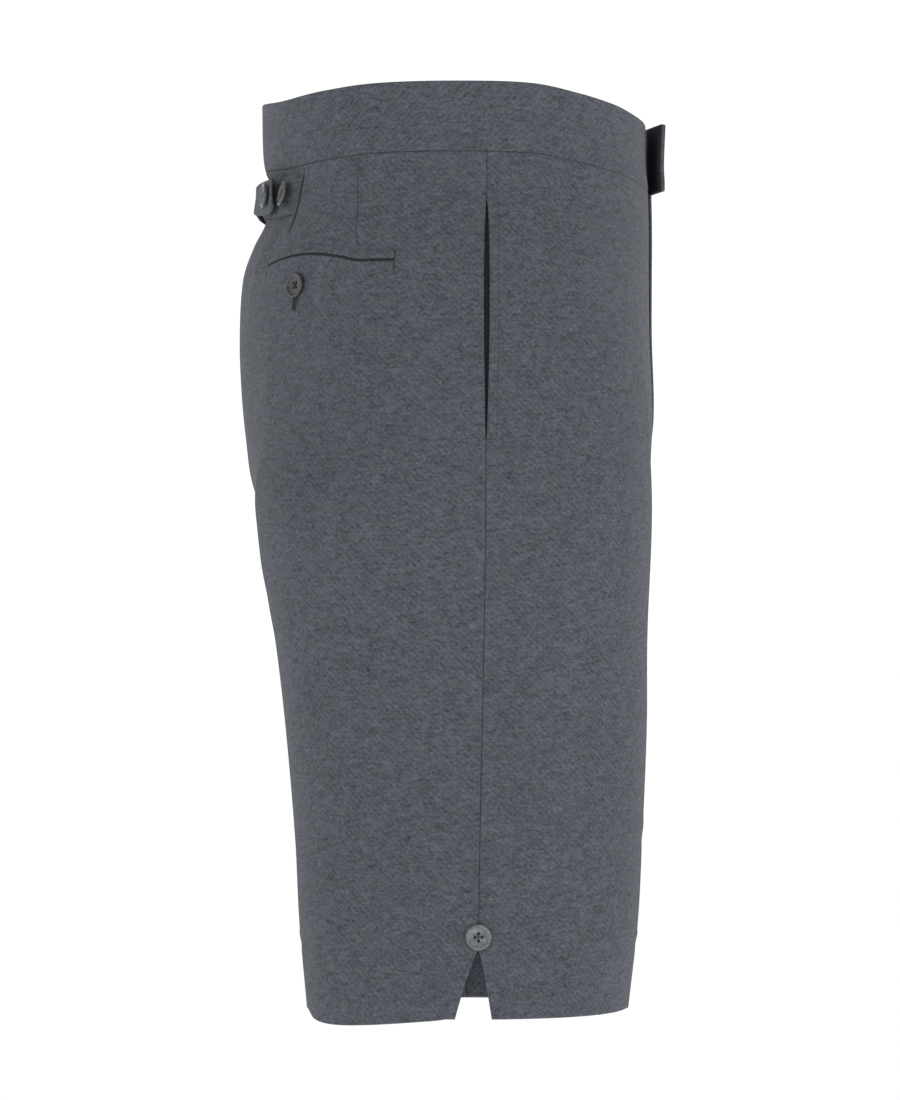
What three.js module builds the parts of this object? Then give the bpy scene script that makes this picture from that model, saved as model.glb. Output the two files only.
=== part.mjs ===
// Tailored wool bermuda shorts, open and hollow as they are worn: a waistband in
// two halves with a loose end tab, two fronts, two backs, side pockets in the seams,
// jetted hip pockets, a cinch strap in two halves and six round buttons.
// Millimetres, +Z up, the wearer's left along +X and the front towards -Y.
// The origin is the middle of the waist, level with the middle of the waistband.

import * as THREE from 'three';

const { lerp, smoothstep, clamp } = THREE.MathUtils;

// Cloth thicknesses and the space left between pieces that are sewn together
const WALL = 2;
const BAND_WALL = 3;
const STRAP_WALL = 2.2;
const JET_WALL = 1.2;
const FACING_WALL = 1.2;
const SEAM_GAP = 0.3;

// Heights
const BAND_HEIGHT = 41;
const HEM_LEVEL = -522;
const FORK_LEVEL = -284;
const RISE_TURN_LEVEL = -195;
const PANEL_TOP = -20.7;
const WARP_END = -110;

// Half sections of the body, from the rim down. side is the half width, front and
// back are the foremost and rearmost y, seam is the y of the side seam, and the
// two square values say how full the corners are, where 2 is an ellipse.
const SECTIONS = [
  { level: 26, side: 147, front: -117.2, back: 116.8, seam: -19.2, squareFront: 2.3, squareBack: 2.25 },
  { level: -8, side: 147.5, front: -117.2, back: 116.2, seam: -19.2, squareFront: 2.3, squareBack: 2.25 },
  { level: -20, side: 148.6, front: -117.6, back: 114.6, seam: -19.2, squareFront: 2.3, squareBack: 2.25 },
  { level: -28, side: 149.8, front: -118.4, back: 111, seam: -19.2, squareFront: 2.35, squareBack: 2.3 },
  { level: -40, side: 152, front: -118.8, back: 111, seam: -19.2, squareFront: 2.35, squareBack: 2.3 },
  { level: -54, side: 155.8, front: -119, back: 115.4, seam: -19.2, squareFront: 2.4, squareBack: 2.2 },
  { level: -66, side: 159, front: -119, back: 121.8, seam: -19.1, squareFront: 2.45, squareBack: 2.15 },
  { level: -85, side: 163.5, front: -118.8, back: 128.4, seam: -19, squareFront: 2.5, squareBack: 2.1 },
  { level: -121, side: 170, front: -118.8, back: 130.4, seam: -18.9, squareFront: 2.7, squareBack: 2.1 },
  { level: -158, side: 174, front: -120.2, back: 128.8, seam: -18.8, squareFront: 3, squareBack: 2.2 },
  { level: -195, side: 176.5, front: -120.3, back: 125.2, seam: -18.5, squareFront: 3.3, squareBack: 2.5 },
  { level: -232, side: 177.5, front: -120, back: 122, seam: -18.2, squareFront: 3.6, squareBack: 3.2 },
  { level: -284, side: 177, front: -118.5, back: 113, seam: -17.6, squareFront: 3.6, squareBack: 3 },
  { level: -352, side: 174.6, front: -115, back: 104, seam: -16.3, squareFront: 3.2, squareBack: 2.8 },
];

// Sections of one leg. inner and outer are the x of its two seams, crease is the x
// of its pressed edges, front and back are the y of those edges, inseam and seam
// are the y of the seams, and ridge is how sharply the pressed edges stand up.
const LEG_SECTIONS = [
  { level: -195, inner: 0.15, outer: 176.5, crease: 96, front: -115.8, back: 122.5,
    inseam: 8, seam: -18.5, ridge: 0.8 },
  { level: -232, inner: 0.15, outer: 177.5, crease: 96, front: -116, back: 117.6,
    inseam: 8, seam: -18.2, ridge: 1.4 },
  { level: -284, inner: 0.15, outer: 177, crease: 95, front: -114.6, back: 110,
    inseam: 8, seam: -17.6, ridge: 2 },
  { level: -304, inner: 2.6, outer: 176.4, crease: 95, front: -114.4, back: 105.8,
    inseam: 6, seam: -17.2, ridge: 2.2 },
  { level: -352, inner: 8, outer: 174.6, crease: 95, front: -114.2, back: 99.8,
    inseam: 2, seam: -16.3, ridge: 2.6 },
  { level: -422, inner: 15, outer: 172.4, crease: 95, front: -111.4, back: 93.4,
    inseam: -3, seam: -15.1, ridge: 3 },
  { level: -470, inner: 19, outer: 171, crease: 95, front: -109.2, back: 91,
    inseam: -6, seam: -14.3, ridge: 3 },
  { level: -522, inner: 22, outer: 170, crease: 95, front: -103.5, back: 86.6,
    inseam: -8, seam: -14, ridge: 3 },
];

// Height of the rim by its share of the way round from centre front to centre back
const RIM = [
  { round: 0, height: 7.8 },
  { round: 0.14, height: 8.6 },
  { round: 0.25, height: 12.4 },
  { round: 0.33, height: 16.2 },
  { round: 0.4, height: 19.8 },
  { round: 0.48, height: 20.7 },
  { round: 0.6, height: 20.4 },
  { round: 0.68, height: 18.4 },
  { round: 0.76, height: 16.4 },
  { round: 0.84, height: 16.8 },
  { round: 1, height: 21.6 },
];
const SIDE_SHARE = 0.47;

// Where the body is widest, the shape of the legs, and the spread of a pressed edge
const WIDEST_Y = -8;
const LEG_SQUARE = 2.1;
const CREASE_SPREAD = 0.045;
const CREASE_ACROSS = 0.5;
const CREASE_FADE = { top: -30, full: -190 };
const LEG_BLEND = { top: -170, bottom: -352, across: 0.42 };

// Waistband tab: it crosses the centre front and stands off the other half
const TAB_REACH = 26;
const TAB_START = 25;
const TAB_STAND_OFF = { top: 12, bottom: 9.9, curve: 1.3 };
const TAB_EXTRA_WALL = 2;

// Fly: the left front laps over the right one
const FLY_LAP = 7;
const FLY_CURVE_TOP = -118;
const FLY_END = -166;

// Side pocket mouth in the side seam, and the facing behind it
const MOUTH = { top: -49, bottom: -189, back: 1.7, front: 1.8, lift: 1.2, power: 0.8 };
const FACING = { top: -36, bottom: -212, columns: 2, gap: 0.5 };

// Droop of the hem behind each side seam, between the pressed edge and the vent
const DROOP = { depth: 6.2, from: 0.5, to: 0.96, lean: 0.65, top: -486 };

// Vent at the hem, below the hem button
const VENT = { top: -482, back: 13.3, front: 7.9, curve: 0.8 };

// Hip pocket: two jets with a slit between them, arched most towards the inner end
const JET = { width: 5.4, slit: 0.7, inner: 86, outer: 156.5, innerZ: -82.6, outerZ: -84, arch: 5, peak: 1.3 };
const JET_BUNCH = 0.55;

// Cinch strap: each half comes out of a slit in its back. The half that laps over is
// slack at the centre back, and its free end springs off the other.
const STRAP = { top: -24, bottom: -48.2, slit: 96, lap: 80, under: 18, ramp: 20, corner: 5, gap: 0.9 };
const STRAP_LIFT = { loose: 0.8, slack: 2.6, slackX: -14, slackWidth: 32, spring: 3.4, from: 44, more: 0.4 };

// Buttons
const BUTTON = { radius: 7.5, height: 2.2, bevel: 0.5, holes: 1, spread: 1.9 };
const HEM_BUTTON_Z = -474.4;
const HIP_BUTTON = { x: 118, z: -96.5 };
const STRAP_BUTTONS = [
  { name: 'strap_button_fastened', x: -71, onLap: true, lift: 1.2, turn: 0 },
  { name: 'strap_button_spare', x: -88.5, onLap: false, lift: 0.3, turn: 0.3 },
];

// Rows and columns of the cloth grids
const PANEL_LEVELS = [
  PANEL_TOP, -28, -38, -49, -58, -66, -78, -95, -121, -150, -172, -189, -212, -232, -249,
  -262, -272, -279, -283, -286, -304, -330, -362, -394, -426, -456, -470, VENT.top, -492, -506, HEM_LEVEL,
];
const PANEL_COLUMNS = [0, 0.015, 0.08, 0.17, 0.28, 0.39, 0.46, 0.5, 0.54, 0.63, 0.74, 0.85, 0.93, 1];
const BAND_COLUMNS = [0.08, 0.17, 0.28, 0.39, 0.5, 0.61, 0.74, 0.87];
const MOUTH_SPREAD = 0.14;

const WOOL = { color: 0x5a5e66, roughness: 0.92, metalness: 0 };
const FACING_CLOTH = { color: 0x2c2e33, roughness: 0.95, metalness: 0 };
const HORN = { color: 0x2a2a2d, roughness: 0.4, metalness: 0 };
const GREY_SHELL = { color: 0x777d81, roughness: 0.35, metalness: 0 };

// Value of one column of a table at a place between its rows, on a smooth curve
function reading(table, by, name, at) {
  const falling = table[1][by] < table[0][by];
  const place = clamp(at, Math.min(table[0][by], table.at(-1)[by]), Math.max(table[0][by], table.at(-1)[by]));
  let i = 0;
  while (i < table.length - 2 && (falling ? place < table[i + 1][by] : place > table[i + 1][by])) {
    i += 1;
  }
  const slope = (j) => {
    const before = table[Math.max(j - 1, 0)];
    const after = table[Math.min(j + 1, table.length - 1)];
    return (after[name] - before[name]) / (after[by] - before[by]);
  };
  const start = table[i];
  const end = table[i + 1];
  const span = end[by] - start[by];
  const t = (place - start[by]) / span;
  const bend = t * t * (3 - 2 * t);
  return lerp(start[name], end[name], bend)
    + span * slope(i) * t * (1 - t) * (1 - t)
    - span * slope(i + 1) * t * t * (1 - t);
}

// Share of leg shape at a place: none on the body and all of it down the leg. At the
// centre it is the curve that the crotch seams follow, and round the side it is eased.
function legShare(across, z) {
  const t = clamp((RISE_TURN_LEVEL - z) / (RISE_TURN_LEVEL - FORK_LEVEL), 0, 1);
  const centre = 1 - Math.sqrt(1 - t * t);
  const round = smoothstep(-z, -LEG_BLEND.top, -LEG_BLEND.bottom);
  return lerp(centre, round, smoothstep(across, 0, LEG_BLEND.across));
}

// Point of the body's round at a turn, from 0 at centre front to PI at centre back
function bodyPoint(z, turn) {
  const side = reading(SECTIONS, 'level', 'side', z) - SEAM_GAP / 2;
  const toFront = Math.cos(turn) >= 0;
  const reach = toFront
    ? WIDEST_Y - reading(SECTIONS, 'level', 'front', z)
    : reading(SECTIONS, 'level', 'back', z) - WIDEST_Y;
  const square = reading(SECTIONS, 'level', toFront ? 'squareFront' : 'squareBack', z);
  const x = SEAM_GAP / 2 + side * Math.abs(Math.sin(turn)) ** (2 / square);
  const y = WIDEST_Y + (toFront ? -reach : reach) * Math.abs(Math.cos(turn)) ** (2 / square);
  return [x, y];
}

// Turn at which the body's round reaches a distance from the middle plane
function turnAtX(z, x, half) {
  const square = reading(SECTIONS, 'level', half === 'front' ? 'squareFront' : 'squareBack', z);
  const side = reading(SECTIONS, 'level', 'side', z);
  const turn = Math.asin(clamp(x / side, 0, 1) ** (square / 2));
  return half === 'front' ? turn : Math.PI - turn;
}

function seamTurn(z) {
  const square = reading(SECTIONS, 'level', 'squareFront', z);
  const reach = WIDEST_Y - reading(SECTIONS, 'level', 'front', z);
  const ahead = (WIDEST_Y - reading(SECTIONS, 'level', 'seam', z)) / reach;
  return Math.acos(ahead ** (square / 2));
}

// Point of one half of the left side, front or back. across is 0 at the centre or
// inside leg seam, 0.5 at the pressed edge and 1 at the side seam.
function surface(half, across, z) {
  const share = legShare(across, z);
  const inFront = half === 'front';
  const sign = inFront ? -1 : 1;
  const leg = (name) => reading(LEG_SECTIONS, 'level', name, Math.min(z, RISE_TURN_LEVEL));
  const sharp = Math.exp(-Math.abs(across - CREASE_ACROSS) / CREASE_SPREAD);
  const ridge = leg('ridge') * smoothstep(-z, -CREASE_FADE.top, -CREASE_FADE.full) * sharp;
  let x = 0;
  let y = 0;
  if (share < 1) {
    const middle = inFront ? 0 : Math.PI;
    const crease = turnAtX(z, leg('crease'), half);
    const turn = across < CREASE_ACROSS
      ? lerp(middle, crease, across / CREASE_ACROSS)
      : lerp(crease, seamTurn(z), (across - CREASE_ACROSS) / (1 - CREASE_ACROSS));
    [x, y] = bodyPoint(z, turn);
  }
  if (share > 0) {
    const turn = Math.PI * across;
    const near = Math.cos(turn) > 0;
    const reach = near ? leg('crease') - leg('inner') : leg('outer') - leg('crease');
    const base = lerp(leg('inseam'), leg('seam'), across) + sign * SEAM_GAP / 2 * (1 - across);
    const tip = leg(half) - sign * leg('ridge');
    const inward = (near ? 1 : -1) * Math.abs(Math.cos(turn)) ** (2 / LEG_SQUARE);
    const legX = leg('crease') - reach * inward;
    const legY = lerp(base, tip, Math.sin(turn) ** (2 / LEG_SQUARE));
    x = lerp(x, legX, share);
    y = lerp(y, legY, share);
  }
  return new THREE.Vector3(x, y + sign * ridge, z);
}

// Outward direction of the cloth there
function outward(half, across, z) {
  const step = 0.01;
  const drop = 1;
  const along = surface(half, Math.min(across + step, 1), z).sub(surface(half, Math.max(across - step, 0), z));
  const down = surface(half, across, z - drop).sub(surface(half, across, z + drop));
  const normal = half === 'front' ? down.cross(along) : along.cross(down);
  return normal.normalize();
}

// Point on the cloth, or a distance out from it, on the wearer's right (-1) or left (1)
function skin(side, half, across, z, out) {
  const point = surface(half, across, z).addScaledVector(outward(half, across, z), out);
  point.x *= side;
  return point;
}

function acrossAtX(half, x, z) {
  let low = 0;
  let high = 1;
  for (let i = 0; i < 24; i += 1) {
    const middle = (low + high) / 2;
    if (surface(half, middle, z).x < x) {
      low = middle;
    } else {
      high = middle;
    }
  }
  return (low + high) / 2;
}

// Point by its signed distance from the middle plane, on the back
function backSkin(x, z, out) {
  return skin(x < 0 ? -1 : 1, 'back', acrossAtX('back', Math.abs(x), z), z, out);
}

function rimLevel(half, across) {
  const round = half === 'front' ? across * SIDE_SHARE : 1 - across * (1 - SIDE_SHARE);
  return reading(RIM, 'round', 'height', round);
}

// Level of a panel point: the upper rows follow the waistband seam
function panelLevel(half, across, level) {
  const drop = rimLevel(half, across) - BAND_HEIGHT - SEAM_GAP - PANEL_TOP;
  return level + drop * (1 - smoothstep(-level, -PANEL_TOP, -WARP_END));
}

// Closed wall between an outer and an inner grid of points with the same rows
function wall(outer, inner) {
  const rows = outer.length;
  const columns = outer[0].length;
  const points = [...outer.flat(), ...inner.flat()];
  const faces = [];
  const quad = (a, b, c, d) => faces.push(a, b, c, a, c, d);
  const at = (row, column) => row * columns + column;
  const under = rows * columns;
  for (let row = 0; row < rows - 1; row += 1) {
    for (let column = 0; column < columns - 1; column += 1) {
      const corners = [at(row, column), at(row + 1, column), at(row + 1, column + 1), at(row, column + 1)];
      quad(...corners);
      quad(...corners.map((corner) => corner + under).reverse());
    }
  }
  const edge = [];
  for (let row = 0; row < rows; row += 1) edge.push(at(row, 0));
  for (let column = 1; column < columns; column += 1) edge.push(at(rows - 1, column));
  for (let row = rows - 2; row >= 0; row -= 1) edge.push(at(row, columns - 1));
  for (let column = columns - 2; column > 0; column -= 1) edge.push(at(0, column));
  edge.forEach((corner, i) => {
    const next = edge[(i + 1) % edge.length];
    quad(corner, corner + under, next + under, next);
  });
  const geometry = new THREE.BufferGeometry();
  geometry.setAttribute('position', new THREE.Float32BufferAttribute(points.flatMap((p) => p.toArray()), 3));
  geometry.setIndex(volumeOf(points, faces) < 0 ? faces.reverse() : faces);
  return geometry;
}

function volumeOf(points, faces) {
  let volume = 0;
  for (let i = 0; i < faces.length; i += 3) {
    const [a, b, c] = [points[faces[i]], points[faces[i + 1]], points[faces[i + 2]]];
    volume += a.dot(new THREE.Vector3().crossVectors(b, c)) / 6;
  }
  return volume;
}

// Wall from a function that gives the point of a row and column at a distance out
function clothWall(rows, columns, out, thickness, place) {
  const grid = (distance) => rows.map((row) => columns.map((column) => place(row, column, distance)));
  return wall(grid(out), grid(out - thickness));
}

function named(name, geometry, finish) {
  geometry.computeVertexNormals();
  const mesh = new THREE.Mesh(geometry, new THREE.MeshStandardMaterial(finish));
  mesh.name = name;
  return mesh;
}

// How far the pocket mouth and the vent draw a panel's side edge from the seam
function mouthOpen(z) {
  const t = clamp((z - MOUTH.bottom) / (MOUTH.top - MOUTH.bottom), 0, 1);
  return Math.sin(Math.PI * t) ** MOUTH.power;
}

function ventOpen(z) {
  const t = clamp((VENT.top - z) / (VENT.top - HEM_LEVEL), 0, 1);
  return t ** VENT.curve;
}

function hemDroop(half, across, z) {
  if (half === 'front') {
    return 0;
  }
  const t = clamp((across - DROOP.from) / (DROOP.to - DROOP.from), 0, 1);
  return DROOP.depth * Math.sin(Math.PI * t ** DROOP.lean) * smoothstep(-z, -DROOP.top, -HEM_LEVEL);
}

// Front or back of one leg, from the waistband to the hem
function panel(side, half) {
  const inFront = half === 'front';
  const sign = inFront ? -1 : 1;
  const laps = inFront && side === 1;
  const place = (level, across, distance) => {
    const z = panelLevel(half, across, level);
    const nearSeam = smoothstep(across, 1 - MOUTH_SPREAD, 1) ** 2;
    const open = mouthOpen(z);
    const lift = inFront ? open * MOUTH.lift * nearSeam : 0;
    const point = skin(side, half, across, z, distance + lift);
    point.z -= hemDroop(half, across, z);
    const mouth = inFront ? MOUTH.front : MOUTH.back;
    const vent = inFront ? VENT.front : VENT.back;
    point.y += sign * nearSeam * (SEAM_GAP / 2 + open * mouth + ventOpen(z) * vent);
    if (laps && z > RISE_TURN_LEVEL) {
      const curve = clamp((FLY_CURVE_TOP - z) / (FLY_CURVE_TOP - FLY_END), 0, 1);
      const near = 1 - smoothstep(across, PANEL_COLUMNS[1], PANEL_COLUMNS[2]);
      const fade = 1 - smoothstep(-z, -FLY_END, -RISE_TURN_LEVEL);
      point.y -= (WALL + SEAM_GAP) * near * fade;
      if (across === 0) {
        point.x -= (FLY_LAP + SEAM_GAP / 2) * Math.sqrt(1 - curve * curve);
      }
    }
    return point;
  };
  return clothWall(PANEL_LEVELS, PANEL_COLUMNS, 0, WALL, place);
}

// Half of the waistband, from the centre front round to the centre back
function waistband(side) {
  const drops = [0, BAND_HEIGHT / 2, BAND_HEIGHT];
  const stations = [
    { half: 'front', across: 0 },
    { half: 'front', across: 0.02 },
    ...BAND_COLUMNS.map((across) => ({ half: 'front', across })),
    ...[1, ...BAND_COLUMNS.toReversed(), 0].map((across) => ({ half: 'back', across })),
  ];
  const place = (drop, station, distance) => {
    const z = rimLevel(station.half, station.across) - drop;
    const point = skin(side, station.half, station.across, z, 0);
    const direction = outward(station.half, station.across, z);
    direction.x *= side;
    const inward = distance < 0;
    if (side === 1 && station.half === 'front') {
      const x = station.tabX ?? point.x;
      const share = clamp((TAB_START - x) / (TAB_START + TAB_REACH), 0, 1);
      point.x = x;
      const reach = lerp(TAB_STAND_OFF.top, TAB_STAND_OFF.bottom, drop / BAND_HEIGHT);
      point.y -= reach * share ** TAB_STAND_OFF.curve;
      const thickness = BAND_WALL + TAB_EXTRA_WALL * share * share;
      return inward ? point.addScaledVector(direction, -thickness) : point;
    }
    return inward ? point.addScaledVector(direction, -BAND_WALL) : point;
  };
  if (side === 1) {
    const tab = [TAB_REACH, TAB_REACH * 0.75, TAB_REACH * 0.5, TAB_REACH * 0.25];
    stations.unshift(...tab.map((reach) => ({ half: 'front', across: 0, tabX: -reach })));
  }
  return clothWall(drops, stations, 0, BAND_WALL, place);
}

// Cloth that backs the side pocket mouth, inside both panels
function pocketFacing(side) {
  const levels = PANEL_LEVELS.filter((level) => level <= FACING.top && level >= FACING.bottom);
  const columns = PANEL_COLUMNS.slice(-1 - FACING.columns);
  const stations = [
    ...columns.map((across) => ({ half: 'front', across })),
    ...columns.slice(0, -1).toReversed().map((across) => ({ half: 'back', across })),
  ];
  const place = (level, { half, across }, distance) => (
    skin(side, half, across, panelLevel(half, across, level), distance)
  );
  return clothWall(levels, stations, -WALL - FACING.gap, FACING_WALL, place);
}

// Line of the hip pocket mouth at a share of its length from the inner end
function jetLevel(share) {
  return lerp(JET.innerZ, JET.outerZ, share) + JET.arch * Math.sin(Math.PI * Math.min(share * JET.peak, 1));
}

function jet(side, above) {
  const shares = [0, 0.12, 0.25, 0.37, 0.5, 0.62, 0.75, 0.87, 1];
  const near = JET.slit / 2;
  const offsets = above ? [near, near + JET.width] : [-near - JET.width, -near];
  const place = (offset, share, distance) => {
    const x = lerp(JET.inner, JET.outer, lerp(share, Math.sin(share * Math.PI / 2), JET_BUNCH));
    const z = jetLevel(share) + offset;
    return skin(side, 'back', acrossAtX('back', x, jetLevel(share)), z, distance);
  };
  return clothWall(offsets, shares, SEAM_GAP + JET_WALL, JET_WALL, place);
}

// Half height of the strap at a distance from its free end, with round corners
function strapHalfHeight(fromEnd) {
  const full = (STRAP.top - STRAP.bottom) / 2;
  const short = Math.max(STRAP.corner - fromEnd, 0);
  return full - STRAP.corner + Math.sqrt(STRAP.corner ** 2 - short ** 2);
}

// Distance of the strap's inner face from the backs, for the half that lies on them
const underOut = () => STRAP.gap;

// The same for the half that laps over it, at a place in x and a row of its width
function lapOut(x, row) {
  const ramp = 1 - smoothstep(x, STRAP.under, STRAP.under + STRAP.ramp);
  const towardsEnd = clamp((-x - STRAP_LIFT.from) / (STRAP.lap - STRAP_LIFT.from), 0, 1);
  const spring = STRAP_LIFT.spring * (1 + STRAP_LIFT.more * row) * towardsEnd ** 2;
  const slack = STRAP_LIFT.slack * Math.exp(-(((x - STRAP_LIFT.slackX) / STRAP_LIFT.slackWidth) ** 2));
  return STRAP.gap + (STRAP_WALL + SEAM_GAP + STRAP_LIFT.loose + slack) * ramp + spring;
}

// Point of the strap at a place in x and a row from 1 at its top edge to -1 at its
// bottom edge, at a distance out from its inner face
function strapPoint(x, row, endX, outAt, distance) {
  const z = strapLevel(x) + row * strapHalfHeight(Math.abs(x - endX));
  return backSkin(x, z, outAt(x, row) + distance);
}

// Direction that the strap's outer face looks in, at the middle of its width
function strapFacing(x, endX, outAt) {
  const along = strapPoint(x + 1, 0, endX, outAt, 0).sub(strapPoint(x - 1, 0, endX, outAt, 0));
  const up = strapPoint(x, 0.5, endX, outAt, 0).sub(strapPoint(x, -0.5, endX, outAt, 0));
  return up.cross(along).normalize();
}

// The strap runs level with the waistband seam
function strapLevel(x) {
  const across = acrossAtX('back', Math.abs(x), STRAP.top);
  return (STRAP.top + STRAP.bottom) / 2 + rimLevel('back', across) - rimLevel('back', 0);
}

function strap(stations, endX, outAt) {
  const place = (row, x, distance) => strapPoint(x, row, endX, outAt, distance);
  return clothWall([1, 0.5, 0, -0.5, -1], stations, STRAP_WALL, STRAP_WALL, place);
}

function strapRight() {
  const stations = [-STRAP.slit, -92, -84, -76, -68, -54, -40, -26, -12, 0, 10, 14, 16.5, STRAP.under];
  return strap(stations, STRAP.under, underOut);
}

function strapLeft() {
  const end = -STRAP.lap;
  const stations = [
    end, end + 1.5, end + 5, -68, -60, -52, -43, -34, -26, -12, 0, 10, STRAP.under,
    STRAP.under + 7, STRAP.under + 13, STRAP.under + STRAP.ramp, 50, 64, 77, 89, STRAP.slit,
  ];
  return strap(stations, end, lapOut);
}

// Round button with four holes, its flat back on the plane z = 0
function buttonGeometry() {
  const shape = new THREE.Shape().absarc(0, 0, BUTTON.radius - BUTTON.bevel, 0, 2 * Math.PI, false);
  for (let i = 0; i < 4; i += 1) {
    const turn = i * Math.PI / 2;
    const hole = new THREE.Path();
    hole.absarc(BUTTON.spread * Math.cos(turn), BUTTON.spread * Math.sin(turn), BUTTON.holes, 0, 2 * Math.PI, true);
    shape.holes.push(hole);
  }
  const geometry = new THREE.ExtrudeGeometry(shape, {
    depth: BUTTON.height - 2 * BUTTON.bevel,
    curveSegments: 8,
    bevelThickness: BUTTON.bevel,
    bevelSize: BUTTON.bevel,
    bevelSegments: 1,
  });
  return geometry.translate(0, 0, BUTTON.bevel);
}

function button(name, finish, point, direction) {
  const mesh = named(name, buttonGeometry(), finish);
  mesh.position.copy(point);
  mesh.quaternion.setFromUnitVectors(new THREE.Vector3(0, 0, 1), direction);
  return mesh;
}

// Button on the cloth, or a distance out from it
function buttonOnCloth(name, finish, side, half, across, z, out) {
  const direction = outward(half, across, z);
  direction.x *= side;
  return button(name, finish, skin(side, half, across, z, out + SEAM_GAP), direction);
}

const shorts = new THREE.Group();

for (const side of [-1, 1]) {
  const word = side < 0 ? 'right' : 'left';
  shorts.add(
    named(`waistband_${word}`, waistband(side), WOOL),
    named(`front_${word}`, panel(side, 'front'), WOOL),
    named(`back_${word}`, panel(side, 'back'), WOOL),
    named(`pocket_facing_${word}`, pocketFacing(side), FACING_CLOTH),
    named(`hip_jet_upper_${word}`, jet(side, true), WOOL),
    named(`hip_jet_lower_${word}`, jet(side, false), WOOL),
    buttonOnCloth(
      `hip_button_${word}`, HORN, side, 'back', acrossAtX('back', HIP_BUTTON.x, HIP_BUTTON.z), HIP_BUTTON.z, 0,
    ),
    buttonOnCloth(`hem_button_${word}`, GREY_SHELL, side, 'front', 1, HEM_BUTTON_Z, 0),
  );
}

shorts.add(named('strap_right', strapRight(), WOOL), named('strap_left', strapLeft(), WOOL));

// A strap button may hang turned on its thread, its inner edge against the strap
for (const { name, x, onLap, lift, turn } of STRAP_BUTTONS) {
  const half = onLap ? [-STRAP.lap, lapOut] : [STRAP.under, underOut];
  const facing = strapFacing(x, ...half);
  const point = strapPoint(x, 0, ...half, STRAP_WALL);
  point.addScaledVector(facing, lift + BUTTON.radius * Math.sin(turn));
  shorts.add(button(name, GREY_SHELL, point, facing.applyAxisAngle(new THREE.Vector3(0, 0, 1), -turn)));
}

export default shorts;
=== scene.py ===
"""Dresses a pair of tailored wool bermuda shorts, open and hollow as they are worn.

Shapes are worked out in millimetres in the frame of the solids and written into the
meshes in metres. The wearer's left is +X, the front is -Y and up is +Z.
"""

import logging
import math
from dataclasses import dataclass, field
from enum import Enum
from typing import Sequence

import bmesh
import bpy
import numpy as np
from mathutils import Matrix, Vector


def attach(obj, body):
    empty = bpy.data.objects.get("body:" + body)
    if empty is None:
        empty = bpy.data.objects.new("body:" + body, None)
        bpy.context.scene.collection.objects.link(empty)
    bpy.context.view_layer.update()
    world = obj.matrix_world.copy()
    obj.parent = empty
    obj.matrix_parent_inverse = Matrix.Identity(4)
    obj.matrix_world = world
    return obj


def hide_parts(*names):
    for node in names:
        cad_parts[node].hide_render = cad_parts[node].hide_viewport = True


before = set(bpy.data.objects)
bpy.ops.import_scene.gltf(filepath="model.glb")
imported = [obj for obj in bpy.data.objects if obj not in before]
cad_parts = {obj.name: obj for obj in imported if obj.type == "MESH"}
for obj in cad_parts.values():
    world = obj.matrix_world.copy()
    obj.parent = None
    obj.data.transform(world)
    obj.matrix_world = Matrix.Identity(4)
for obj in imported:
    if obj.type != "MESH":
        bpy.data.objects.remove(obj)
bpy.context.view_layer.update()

LOG = logging.getLogger("shorts")
MM = 0.001
BODY = "root"
UV_NAME = "cloth"

Array = np.ndarray


class Side(Enum):
    """Which side of the wearer a piece is on; the value is the sign of its x."""

    RIGHT = -1
    LEFT = 1

    @property
    def word(self) -> str:
        """The side's name in lower case."""
        return self.name.lower()


class Half(Enum):
    """Front or back of a leg; the value is the sign of its y."""

    FRONT = -1
    BACK = 1

    @property
    def word(self) -> str:
        """The half's name in lower case."""
        return self.name.lower()


def ease(at: Array | float, low: float, high: float) -> Array:
    """Smooth step from 0 at low to 1 at high.

    Args:
        at: Places to read.
        low: Where the step starts.
        high: Where it ends.

    Returns:
        The step's height at each place.
    """
    t = np.clip((np.asarray(at, float) - low) / (high - low), 0.0, 1.0)
    return t * t * (3.0 - 2.0 * t)


def blend(low: Array | float, high: Array | float, share: Array | float) -> Array:
    """Mix of two values, all low at share 0 and all high at share 1."""
    return low + (high - low) * share


class Table:
    """Rows of named sizes, read on a smooth curve that passes through them."""

    def __init__(self, names: str, *rows: Sequence[float]) -> None:
        """Keeps the rows.

        Args:
            names: Column names in words with spaces between; the first is the key.
            rows: The rows in order of the key.
        """
        self.key = names.split()[0]
        self.columns = {name: np.array(column, float) for name, column in zip(names.split(), zip(*rows))}

    def read(self, name: str, at: Array | float) -> Array:
        """Value of a column at places along the key.

        Args:
            name: The column.
            at: Places along the key.

        Returns:
            One value for each place.
        """
        keys, values = self.columns[self.key], self.columns[name]
        sign = 1.0 if keys[-1] > keys[0] else -1.0
        place = np.clip(np.asarray(at, float), keys.min(), keys.max())
        row = np.clip(np.searchsorted(keys * sign, place * sign, side="right") - 1, 0, len(keys) - 2)
        order = np.arange(len(keys))
        before, after = np.maximum(order - 1, 0), np.minimum(order + 1, len(keys) - 1)
        slope = (values[after] - values[before]) / (keys[after] - keys[before])
        span = keys[row + 1] - keys[row]
        t = (place - keys[row]) / span
        return (
            blend(values[row], values[row + 1], t * t * (3.0 - 2.0 * t))
            + span * slope[row] * t * (1.0 - t) ** 2
            - span * slope[row + 1] * t * t * (1.0 - t)
        )


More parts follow.
